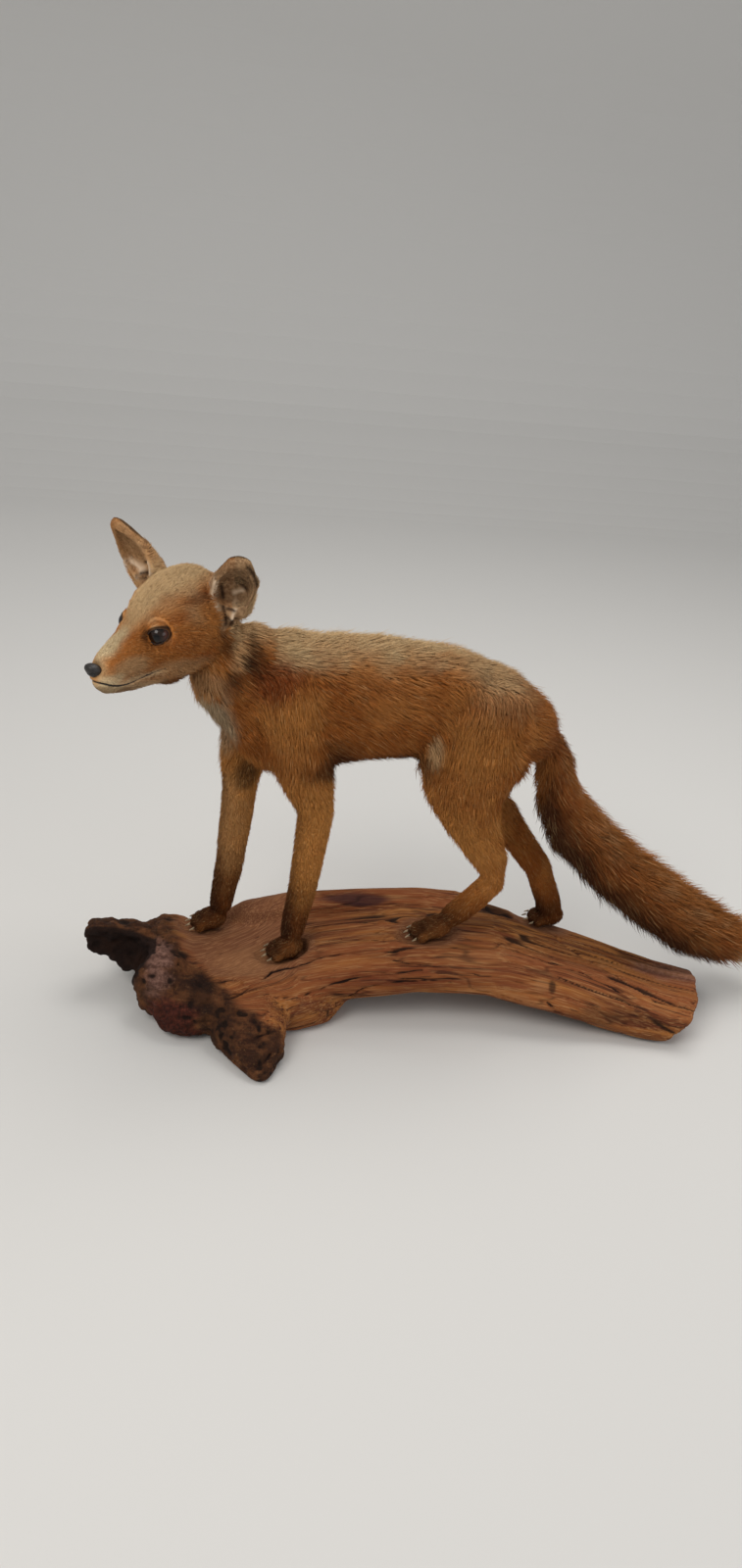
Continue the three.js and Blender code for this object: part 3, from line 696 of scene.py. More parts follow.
neck_and_core = joined([solid_of(torso_nodes + hip_nodes, 0.3 * mm), solid_of(["head"], -3.0 * mm)])
torso = drawn_in(remade(neck_and_core, 3.0 * coarse * mm, 14))
legs = drawn_in(remade(solid_of(limb_nodes, 0.3 * mm), 2.2 * coarse * mm, 8))
skull = solid_of(["head", "lower_jaw", "eye_left", "eye_right"], 0.3 * mm)
skull = drawn_in(remade(skull, 1.6 * coarse * mm, 10))
ears = remade(solid_of(["ear_left", "ear_right"], 2.3 * mm), 0.95 * coarse * mm, 2)
skin_mesh = remade(joined([torso, legs, skull, ears]), 1.35 * coarse * mm, 3)

# The face is modelled on the drawn skin: the filled throat and nape, lids round the glass, the
# closed mouth and its lips, and the folds in the ears.
places = corners_of(skin_mesh)
out = corners_of(skin_mesh, "normal")
on_face = to_head(places)
face_out = out @ head_axes.T
near_head = np.linalg.norm(on_face, axis=1) < 150
throat = smooth(-far_from(on_face, (14, 0, -58), (30, 28, 15)), -1.0, -0.2)
nape = smooth(-far_from(to_body(places), (82, 0, 412), (44, 28, 22)), -1.0, -0.15)
scruff = smooth(-far_from(to_body(places), (70, 0, 406), (30, 30, 30)), -1.0, -0.1)
bridge = mound(on_face, (-24, 2, 14), (15, 12, 14)) * near_head
on_face = on_face + face_out * (5.5 * throat + 10.0 * nape - 5.0 * bridge)[:, None]
on_face = on_face + head_axes[:, 2] * 6.5 * scruff[:, None]
lid_half = (9.6, 7.3)      # half the opening's length, and its height above the middle
lower_lid = 0.92           # the height below the middle, as a share of that above
lid_tilt = 0.16
lid_thick = 0.9
seat_depth = 1.8           # how far the skin is pressed in under the glass
eye_open = np.full(len(places), 9.0)
for side in (-1, 1):
    outward, back, up = along_gaze(side)
    from_seat = on_face - eye_seat[side]
    far = np.linalg.norm(from_seat, axis=1) + 1e-6
    aimed = from_seat / far[:, None] * eye_radius
    across, rise = aimed @ back, aimed @ up
    rise = rise - lid_tilt * across
    lid_height = np.where(rise > 0, lid_half[1], lid_half[1] * lower_lid)
    opening = np.hypot(across / lid_half[0], rise / lid_height)
    round_it = (from_seat @ outward > -0.3 * eye_radius) & (far < eye_radius + 9)
    front = (from_seat @ outward > 0) & (far < eye_radius + 9)
    inside = smooth(-opening, -1.06, -0.9) * front
    lid = smooth(-opening, -2.0, -1.25) * front
    ridge = 0.7 * np.exp(-((opening - 1.28) / 0.15) ** 2)
    covered = lid * (eye_radius + lid_thick + ridge) + (1 - lid) * np.maximum(far, eye_radius + lid_thick)
    wanted = np.where(round_it, inside * (eye_radius - seat_depth) + (1 - inside) * covered, far)
    on_face = eye_seat[side] + from_seat * (wanted / far)[:, None]
    eye_open = np.where(front, np.minimum(eye_open, opening), eye_open)

mouth_x = np.array([-70, -66, -58, -52, -43, -33, -24, -17, -10, -1, 4])
mouth_z = np.array([-31, -31.5, -34.6, -38, -41.5, -43.0, -41.3, -39.2, -37.8, -36.1, -35])
over_mouth = on_face[:, 2] - np.interp(on_face[:, 0], mouth_x, mouth_z)
jaw = smooth(-over_mouth, -1, 5) * smooth(on_face[:, 2], -100, -66) * (np.abs(on_face[:, 1]) < 34)
jaw *= np.interp(on_face[:, 0], [-64, -56, -40, -20, 0, 20, 42], [1.0, 3.5, 5.0, 5.0, 4.5, 3.0, 0.0])
on_face[:, 2] -= jaw
over_mouth -= jaw
lips = near_head * smooth(-on_face[:, 0], -4, 3) * (np.abs(on_face[:, 1]) < 30)
groove = lips * np.exp(-(over_mouth / 1.1) ** 2)
lip_roll = lips * np.exp(-((over_mouth - 2.8) / 1.5) ** 2)
pad = near_head * mound(np.abs(on_face), (52, 8, 29), (9, 6, 6))
on_face = on_face + face_out * (0.6 * lip_roll + 0.6 * pad - 2.0 * groove)[:, None]
places = np.where(near_head[:, None], on_head(on_face), places)

# Strokes inside each ear: what they do, how far they rise, half their width, and their course as
# heights up the ear and distances across it. The pale strokes run along raised folds and are
# painted highlights; the dark strokes that sink are painted shade in the grooves, and those that
# neither rise nor sink are the ears' own dark rims.
ear_strokes = {
    "left": [("light", 1.2, 1.9, [(23, 2), (27, 9)]), ("dark", -0.9, 2.0, [(30, -11), (16, -6.6), (0, -2)]),
             ("light", 1.4, 2.1, [(45, -19), (29, -18.6), (12, -11)]),
             ("dark", -0.9, 1.9, [(16, -2.4), (15, 3)]), ("light", 1.2, 1.8, [(17, 4), (6.6, 1.7)]),
             ("dark", -0.8, 2.6, [(-4, 2), (3, 3)]), ("dark", 0.0, 1.9, [(70, 8), (60, 15), (46, 20)]),
             ("dark", -0.8, 1.6, [(34, 2), (30, 12)]), ("dark", -0.8, 1.6, [(10, -7), (4, 8)])],
    "right": [("dark", 0.0, 2.2, [(82, -2), (74, -6)]),
              ("light", 2.2, 2.6, [(34, -19), (20, -10)]), ("dark", -0.8, 2.2, [(20, -11), (17, 7)]),
              ("light", 1.4, 2.2, [(30, 21), (17, 18)]), ("dark", -0.7, 1.6, [(28, -8), (24, 10)])]}
ear_inner, ear_outer, ear_height, ear_low = np.zeros((4, len(places)))
ear_highlights_and_shade = {"light": np.zeros(len(places)), "dark": np.zeros(len(places))}
ear_facing = {"left": (-0.62, -0.75, 0.1), "right": (-0.95, 0.1, 0.0)}
ear_length = 84
for name, (root, tip) in ear_plans.items():
    axis = unit(np.array(tip, float))
    facing = np.array(ear_facing[name])
    facing = unit(facing - facing @ axis * axis)
    sideways = np.cross(axis, facing)
    from_root = to_head(places) - np.array(root, float)
    height, across, ahead = from_root @ axis, from_root @ sideways, from_root @ facing
    in_ear = near_head & (height > -8) & (height < ear_length)
    in_ear &= (np.abs(across) < 30) & (np.abs(ahead) < 26)
    turned_in = face_out @ facing
    inner = in_ear * smooth(turned_in, -0.1, 0.35) * smooth(height, 8, 16)
    edge_at = 24.5 * np.sin(np.pi * np.clip(height / ear_length, 0, 1)) ** 0.6 + 1
    inner *= smooth(edge_at - np.abs(across), 0, 3)
    cavity = in_ear * smooth(turned_in, -0.1, 0.35) * smooth(-np.abs(across), -16, -10)
    inner = np.maximum(inner, cavity * smooth(height, -8, -2) * (name == "left"))
    ear_inner = np.maximum(ear_inner, inner * (1.0 if name == "left" else 0.6))
    ear_outer = np.maximum(ear_outer, in_ear * smooth(-turned_in, -0.1, 0.3) * smooth(height, 8, 30))
    ear_height = np.where(in_ear, height, ear_height)
    fold_at = np.stack([height / 2.2, across, ahead], axis=1)
    folds = np.abs(ripple(fold_at, 6, 21)) + 0.5 * ripple(fold_at, 2.6, 22)
    low = smooth(-height, -46, -26)
    ear_low = np.maximum(ear_low, inner * low)
    lift = inner * low * 1.1 * folds
    places = places - out * (0.6 * mm * in_ear * smooth(height, 6, 22))[:, None]
    tucked = 4.5 * mm * in_ear * smooth(across, 11, 22) * smooth(-height, -48, -26) * (name == "left")
    places = places - (sideways @ head_axes) * tucked[:, None]
    for kind, stroke_lift, half_width, course in ear_strokes[name]:
        gap = np.full(len(height), 99.0)
        for begin, end in zip(course, course[1:]):
            step = np.subtract(end, begin).astype(float)
            rise, aside = height - begin[0], across - begin[1]
            t = np.clip((rise * step[0] + aside * step[1]) / (step @ step), 0, 1)
            gap = np.minimum(gap, np.hypot(rise - t * step[0], aside - t * step[1]))
        mark = inner * np.exp(-(gap / half_width) ** 2)
        lift += stroke_lift * mark
        ear_highlights_and_shade[kind] = np.maximum(ear_highlights_and_shade[kind], mark)
    places = places + (facing @ head_axes) * (lift * mm)[:, None]
settle(skin_mesh, places)
note(skin_mesh, "inner_ear", ear_inner)
note(skin_mesh, "outer_ear", ear_outer * smooth(ear_height, 20, 60))
note(skin_mesh, "ear_low", ear_low)
# Painted highlights on the ears' raised folds, and painted shade in their grooves together with their dark
# rims.
for kind, mark in ear_highlights_and_shade.items():
    note(skin_mesh, f"ear_{kind}", mark)
note(skin_mesh, "lid_line", np.exp(-((eye_open - 1.08) / 0.13) ** 2))
note(skin_mesh, "lid_rim", np.exp(-((eye_open - 1.34) / 0.12) ** 2) * smooth(on_face[:, 0], -8, 4))
from_nose = np.sum(((on_face - (-60, 0, -19.5)) / (6.5, 9.5, 8.5)) ** 2, axis=1)
note(skin_mesh, "lip_line", np.maximum(groove, near_head * np.exp(-from_nose * 2)))
strip_width = np.interp(on_face[:, 0], [-48, -30], [2.0, 2.7])
lip_strip = lips * np.exp(-((over_mouth + 0.3) / strip_width) ** 4)
note(skin_mesh, "by_lips", near_head * (np.abs(on_face[:, 1]) < 34) * smooth(-on_face[:, 0], -14, 0)
     * smooth(-np.abs(over_mouth - 2.5), -8, -3))
bald = np.maximum(smooth(-eye_open, -1.34, -1.2), lip_strip)
bald = np.maximum(bald, smooth(-on_face[:, 0], 59.5, 61.5) * smooth(on_face[:, 2], -31, -29) * near_head)
note(skin_mesh, "bald", bald)


def thinned(mesh, share):
    """The same surface with fewer faces where it is flat. What was noted on it is kept."""
    holder = bpy.data.objects.new("holder", mesh)
    bpy.context.scene.collection.objects.link(holder)
    thin = holder.modifiers.new("thin", "DECIMATE")
    thin.ratio = share
    graph = bpy.context.evaluated_depsgraph_get()
    made = bpy.data.meshes.new_from_object(holder.evaluated_get(graph), preserve_all_data_layers=True,
                                           depsgraph=graph)
    bpy.data.objects.remove(holder)
    return made


def read(mesh, name):
    values = np.zeros(len(mesh.vertices), np.float32)
    mesh.attributes[name].data.foreach_get("value", values)
    return values.astype(float)


most_faces = 190000        # of three sides, in any one piece
skin_mesh = thinned(skin_mesh, min(1.0, most_faces / (2 * len(skin_mesh.polygons))))
skin_at = corners_of(skin_mesh)
skin_out = corners_of(skin_mesh, "normal")
shares = nearness(skin_at)


# ---- Markings ---------------------------------------------------------------------------------
# The coat is sandy ochre. Each marking is a soft patch with its dye, its plan, its middle, its
# reach each way and its strength. Both sides of the fox carry the same patches, apart from the
# painted shade inside each elbow, which has its own place. Several patches are painted shade:
# under the jaw, in the creases by the ruff, under the belly, behind and inside the elbows, and
# under the tail's root.

patches = [
    ("blond", "head", (24, 0, 44), (64, 30, 34), 0.95),       # forehead and crown
    ("blond", "head", (-8, 0, 20), (34, 15, 18), 0.8),
    ("cream", "head", (-42, 0, -4), (34, 10, 14), 0.95),      # bridge of the nose
    ("blond", "head", (-34, 17, -24), (20, 9, 10), 0.55),     # side of the muzzle
    ("soot", "head", (-14, 18, 0), (5, 5, 6), 0.75),          # inner corner of the eye
    ("blond", "head", (-56, 0, -24), (10, 12, 14), 0.6),
    ("umber", "head", (22, 18, -62), (26, 26, 14), 0.75),     # painted shadow under the jaw, on the throat
    ("umber", "head", (34, 36, 27), (16, 9, 6), 0.4),         # streak before the ear
    ("ash", "head", (63, 54, 38), (20, 22, 38), 0.4),         # left ear
    ("blond", "head", (32, 50, 48), (20, 24, 42), 0.55),      # right ear
    ("cream", "head", (-52, 11, -32), (13, 8, 6), 0.7),       # upper lip
    ("cream", "head", (-24, 18, -39), (26, 10, 6), 0.6),
    ("cream", "head", (-54, 6, -40), (15, 14, 8), 0.8),       # lower lip
    ("cream", "head", (-34, 0, -52), (46, 30, 12), 0.6),      # chin
    ("umber", "head", (-40, 0, -51), (24, 14, 6), 0.5),
    ("blond", "head", (10, 32, -38), (36, 16, 12), 0.45),     # behind the corner of the mouth
    ("cream", "head", (34, 28, -64), (40, 30, 14), 0.3),      # throat
    ("rust", "head", (36, 36, 27), (26, 12, 8), 0.55),        # temple
    ("rust", "head", (12, 34, 14), (18, 8, 6), 0.45),
    ("rust", "head", (18, 40, -8), (22, 12, 14), 0.25),       # behind the eye
    ("umber", "head", (55, 50, -6), (8, 12, 13), 0.75),       # under the ear
    ("umber", "head", (58, 48, -25), (9, 12, 13), 0.7),
    ("rust", "head", (30, 42, -32), (18, 14, 12), 0.35),
    ("blond", "head", (72, 47, -19), (9, 12, 13), 0.45),      # edge of the ruff
    ("blond", "head", (68, 56, -31), (9, 12, 13), 0.5),
    ("blond", "head", (60, 60, -42), (10, 12, 12), 0.45),
    # painted shade in the crease under the edge of the ruff
    ("soot", "head", (56, 63, -54), (10, 12, 9), 0.7),
    ("umber", "head", (-56, 0, -44), (10, 12, 6), 0.35),
    ("umber", "head", (-5, 29, 4), (8, 8, 8), 0.3),           # round the lids
    ("blond", "head", (-12, 26, 10), (7, 7, 4), 0.5),
    ("soot", "body", (62, 16, 408), (6, 13, 11), 0.6),        # painted shade in the crease behind the ruff, this and the next four patches
    ("soot", "body", (58, 32, 394), (7, 11, 12), 0.85),
    ("soot", "body", (49, 40, 379), (9, 12, 11), 0.85),
    ("umber", "body", (66, 34, 396), (12, 22, 22), 0.7),
    ("umber", "body", (44, 36, 372), (12, 14, 12), 0.5),
    ("rust", "body", (84, 38, 386), (30, 22, 30), 0.95),      # side of the neck
    ("umber", "body", (76, 40, 392), (18, 16, 22), 0.5),
    ("gold", "body", (104, 48, 348), (30, 18, 34), 0.5),      # shoulder
    ("gold", "body", (150, 30, 200), (200, 60, 75), 0.95),    # legs
    ("blond", "body", (48, 28, 180), (24, 20, 70), 0.3),
    ("gold", "body", (296, 50, 320), (40, 24, 34), 0.5),      # thigh
    ("rust", "body", (180, 52, 378), (64, 20, 14), 0.35),     # flank
    ("rust", "body", (300, 48, 352), (36, 20, 20), 0.15),     # hip
    ("ash", "body", (28, 24, 318), (26, 26, 44), 0.85),       # breast
    ("cream", "body", (18, 12, 322), (16, 22, 30), 0.5),
    ("umber", "body", (180, 10, 292), (86, 50, 17), 0.85),    # painted shade under the belly, this and the next patch
    ("soot", "body", (176, 0, 284), (84, 50, 12), 0.6),
    ("umber", "body", (150, 26, 306), (24, 24, 22), 0.6),     # painted shade behind the elbow
    ("blond", "body", (247, 48, 315), (7, 14, 19), 0.65),     # fold of the flank
    # painted shade low on the flank where it folds in before the thigh
    ("soot", "body", (236, 34, 296), (12, 20, 14), 0.45),
    ("soot", "elbow", (72, 14, 258), (26, 11, 22), 0.75),     # painted shade inside the elbows, this and the next patch
    ("soot", "elbow", (142, -14, 258), (26, 11, 22), 0.75),
    ("umber", "body", (362, 40, 262), (26, 40, 60), 0.4),     # back of the thighs
    ("umber", "body", (385, 0, 300), (24, 30, 34), 0.25),     # painted shade under the tail's root
    ("rust", "body", (376, 0, 318), (26, 34, 26), 0.5),       # tail's root
    ("blond", "body", (316, 22, 388), (44, 26, 18), 0.5),     # rump
]
dyes = {"gold": "#d8964f", "rust": "#944c24", "blond": "#d3b487", "cream": "#d9c49c", "ash": "#b9a586",
        "umber": "#552e17", "soot": "#2e1d14"}


def markings(places, facing):
    """How strong each dye is at each place on the coat, from 0 to 1."""
    head, body = to_head(places), to_body(places)
    x, y, z = body.T
    ahead, upward = -facing[:, 0], facing[:, 2]
    mirrored = np.array([False, True, False])
    on_plan = {"head": np.where(mirrored, np.abs(head), head),
               "body": np.where(mirrored, np.abs(body), body), "elbow": body}
    on_the_head = (np.linalg.norm(head, axis=1) < 125) & (z > 352)
    off_the_head = ~on_the_head | (x > 36)
    nearby = {"head": on_the_head, "body": off_the_head, "elbow": off_the_head}
    ragged = 0.16 * ripple(body, (9, 9, 9), 31) + 0.14 * ripple(body, (22, 16, 16), 32)
    bare = {name: np.ones(len(places)) for name in dyes}

    def add(name, strength):
        bare[name] *= 1 - np.clip(strength, 0, 1)

    for name, where, middle, reach, strength in patches:
        far = far_from(on_plan[where], middle, reach) + ragged
        add(name, strength * smooth(-far, -1.35, -0.55) * nearby[where])
    # The back is pale from the withers to the rump, partly the coat's own colour and partly painted light
    # from above.
    pale_lit_back = np.interp(x, [40, 100, 340, 380], [0, 1, 1, 0]) * smooth(z + 30 * ragged, 380, 408)
    add("blond", 0.95 * pale_lit_back * (1 + 0.5 * ragged) * ~on_the_head)
    add("blond", 0.55 * smooth(x, 262, 300) * smooth(z, 335, 395) * smooth(-x, -372, -345))
    add("blond", 0.75 * smooth(z, 396, 418) * (x > 40) * (x < 110))
    # The feet and the fronts of the wrists are dark.
    shin = smooth(-z, -180, -98) * (x < 200)
    shin = np.maximum(shin, smooth(-z, -140, -100) * (x < 318) * (x > 200))
    shin = np.maximum(shin, smooth(-z, -125, -82) * (x > 380) * (x < 452))
    shin *= (z < 190) * (x < 452) * (np.abs(y) < 60)
    add("umber", shin * (0.7 + 0.3 * smooth(ahead, -0.3, 0.8) + 0.4 * ragged))
    add("soot", shin * (0.05 + 0.4 * smooth(ahead + upward * 0.6, 0.0, 0.9) + ragged))
    fronts = (z < 250) * (z > 110) * (x < 200) * (np.abs(y) < 60)
    add("umber", fronts * 0.45 * smooth(ahead, 0.35, 0.9))
    # The brush is rusty above and dark below, and ends in cream. Its golden top is partly painted light,
    # and its dark underside, found by height and by which way the hair faces, is partly painted shade.
    brush_z = np.interp(x, [380, 398, 454, 538, 625, 694], [300, 250, 181, 117, 68, 60])
    hung = np.interp(x, [392, 460], [58, 90])
    tail = smooth(x, 372, 392) * (z > brush_z - hung)
    tail = tail * ((np.abs(y) < 60) & ((x > 452) | (z > 150)))
    # Height over the brush's middle line and how much the hair faces up set the painted light above and the
    # painted shade below.
    above = (z - brush_z) / 42 + 0.35 * upward
    add("rust", tail * 0.5 * smooth(above, -0.9, 0.5) * smooth(-x, -652, -610))
    add("gold", tail * 0.75 * smooth(above, 0.0, 1.0) * smooth(-x, -652, -610))
    wisps = smooth(ripple(body, (30, 7, 7), 33), 0.15, 0.5)
    add("blond", tail * 0.2 * wisps * smooth(above, -0.2, 0.7))
    add("umber", tail * (0.3 + 0.75 * smooth(-above, -0.3, 0.9) + 0.6 * ragged) * smooth(-x, -660, -615))
    add("soot", tail * (0.6 * smooth(-above, 0.2, 1.2) + 0.4 * ragged) * smooth(-x, -640, -600))
    add("cream", tail * smooth(x + 10 * ragged, 634, 664))
    return {name: np.clip(1 - left, 0, 1) for name, left in bare.items()}


# The fur's material, for the skin and for every tuft. Hair is darker at its root, and each
# tuft has a shade of its own.
fur_finish, fur_shader, spot = new_finish("fox_fur", Specular_IOR_Level=0.08)
grainy = spot.noise(420, 3, 0.6)
patchy = spot.noise(46, 3, 0.6)
tone = spot.noise(17, 2, 0.5).rise(0.4, 0.6).mixed(dye("#a8632c"), dye("#c27e40"))
tone = (patchy.rise(0.5, 0.7) * 0.4).mixed(tone, dye("#c98a4c"))
for name, code in dyes.items():
    tone = noted(spot, name).mixed(tone, dye(code))
tip_share = noted(spot, "tip")
own_shade = noted(spot, "shade")
tone = ((1 - tip_share) * 0.24).mixed(tone, dye("#663a1c"))
tone = (own_shade.rise(-0.1, -1.0) * 0.34).mixed(tone, dye("#4f2d17"))
tone = (own_shade.rise(0.2, 1.0) * 0.24).mixed(tone, dye("#e8c48c"))
tone = (noted(spot, "outer_ear") * 0.85).mixed(tone, dye("#3b2a20"))
ear_tone = spot.noise(260, 4, 0.7).rise(0.38, 0.62).mixed(dye("#76593f"), dye("#a3815f"))
tone = (noted(spot, "inner_ear") * 0.9).mixed(tone, ear_tone)
# Painted highlight on the raised folds inside the ears.
tone = noted(spot, "ear_light").mixed(tone, dye("#d9bfa2"))
# Painted shade in the sunk grooves inside the ears, and the ears' own dark rims.
tone = (noted(spot, "ear_dark") * 0.92).mixed(tone, dye("#2a1911"))
tone = (noted(spot, "lid_rim") * 0.4).mixed(tone, dye("#c89a78"))
tone = noted(spot, "lid_line").mixed(tone, dye("#1b1310"))
tone = noted(spot, "lip_line").mixed(tone, dye("#1c1412"))
tone.into(fur_shader, "Base Color")
(0.62 + 0.3 * grainy).into(fur_shader, "Roughness")
(spot.noise(900, 2) + grainy).bump(fur_shader, 0.35, 0.6 * mm)

for name, strength in markings(skin_at, skin_out).items():
    note(skin_mesh, name, strength)
note(skin_mesh, "tip", np.full(len(skin_at), 0.8))
note(skin_mesh, "shade", 0.3 * ripple(skin_at, 3 * mm, 40))
flesh_nodes = torso_nodes + limb_nodes + ["head", "lower_jaw", "ear_left", "ear_right"]
new_piece("fox_skin", skin_mesh, fur_finish, "fur", *flesh_nodes)


# ---- Coat -------------------------------------------------------------------------------------
# Fur in tufts, each a thin spindle rooted in the skin that lies back along the body. It is short
# and close on the face, ears and feet, longer on the neck and body, and long on the brush.

def share_of(*parts):
    return sum(shares[:, names.index(part)] for part in parts)


# The hair runs back from the nose, hangs down the sides, and swirls a little.
chance = np.random.default_rng(11)
way = shares @ np.array([unit(run_along) for run_along in ends - starts])
body_at = to_body(skin_at)
head_at = to_head(skin_at)
on_trunk = share_of("shoulders", "ribs", "rump", "neck", "belly")
way[:, 2] -= on_trunk * 0.38 * smooth(np.abs(body_at[:, 1]), 8, 40)
on_cheek = share_of("cheek_left", "cheek_right", "throat")
by_lips = read(skin_mesh, "by_lips")
way += (on_cheek * 0.35 * (1 - by_lips))[:, None] * (skin_out * 0.6 - head_axes[2])
on_top = smooth(skin_out[:, 2], 0.35, 0.85) * smooth(body_at[:, 2], 330, 350)
way[:, 0] += 0.8 * (on_top * smooth(body_at[:, 0], 60, 100))
swirl = np.cross(skin_out, way)
way += swirl * (0.22 * ripple(body_at, (26, 18, 18), 41) + 0.12 * ripple(body_at, (9, 9, 9), 42))[:, None]
way -= np.sum(way * skin_out, axis=1)[:, None] * skin_out
way /= np.linalg.norm(way, axis=1)[:, None] + 1e-9

# It is shorter and closer round the eyes, nose and lips, and thin inside the ears.
hair, deep, half, thick = (shares @ coats).T
ear_in = read(skin_mesh, "inner_ear")
bare_skin = read(skin_mesh, "bald")
eye_near = np.minimum(*(np.linalg.norm(head_at - eye_seat[side], axis=1) for side in (-1, 1)))
by_eye = smooth(-eye_near, -24, -11)
by_nose = smooth(-np.linalg.norm(head_at - (-62, 0, -20), axis=1), -22, -8)
short = 1 - np.maximum(0.5 * np.maximum(by_eye, by_nose), 0.68 * by_lips)
hair = hair * short * (1 - 0.35 * ear_in)
deep = deep * short
thick = thick * (1 - bare_skin) * (1 - 0.5 * ear_in) * (1 - read(skin_mesh, "ear_low"))
# The ears' dark backs, and the painted highlights and shade of their folds, carried onto the tufts.
ear_notes = {name: read(skin_mesh, name) for name in ("outer_ear", "ear_light", "ear_dark")}
on_tail = share_of("tail_bend", "tail_brush", "tail_full", "tail_tip")
clumps = 1 + 0.16 * ripple(body_at, (14, 10, 10), 43) + 0.14 * ripple(body_at, (6, 6, 6), 44)

tree = kdtree.KDTree(len(skin_at))
for i, place in enumerate(skin_at):
    tree.insert(place, i)
tree.balance()

skin_mesh.calc_loop_triangles()
triangles = np.zeros(len(skin_mesh.loop_triangles) * 3, np.int32)
skin_mesh.loop_triangles.foreach_get("vertices", triangles)
triangles = triangles.reshape(-1, 3)
edge_a = skin_at[triangles[:, 1]] - skin_at[triangles[:, 0]]
edge_b = skin_at[triangles[:, 2]] - skin_at[triangles[:, 0]]
area = np.linalg.norm(np.cross(edge_a, edge_b), axis=1) / 2 / mm ** 2
owner = belongs[np.argmax(shares, axis=1)]
triangle_owner = owner[triangles[:, 0]]

# A tuft has one or two rings of three corners, left, right and ridge, between its root and its
# tip, at these shares of its length.
ring_shares = {1: [0.36], 2: [0.28, 0.66]}


def tuft_faces(rings):
    """A tuft's faces, and which of its three sides each lies on."""
    faces = [(1, 2, 0), (3, 1, 0), (2, 3, 0)]
    columns = [0, 1, 2]
    for ring in range(rings - 1):
        a, b, c = (1 + 3 * ring + k for k in range(3))
        faces += [(b, a, a + 3), (b, a + 3, b + 3), (a, c, c + 3), (a, c + 3, a + 3),
                  (c, b, b + 3), (c, b + 3, c + 3)]
        columns += [0, 0, 1, 1, 2, 2]
    a, b, c = (1 + 3 * (rings - 1) + k for k in range(3))
    tip = 1 + 3 * rings
    faces += [(b, a, tip), (a, c, tip), (c, b, tip)]
    columns += [0, 1, 2]
    return np.array(faces), np.array(columns)


def follow(at, step):
    """The skin corner nearest to each place, and the place moved on along the hair by a step."""
    nearest = np.fromiter((tree.find(place)[1] for place in at), int, len(at))
    onward = at + way[nearest] * step[:, None]
    height = np.sum((onward - skin_at[nearest]) * skin_out[nearest], axis=1)
    return nearest, onward - height[:, None] * skin_out[nearest]


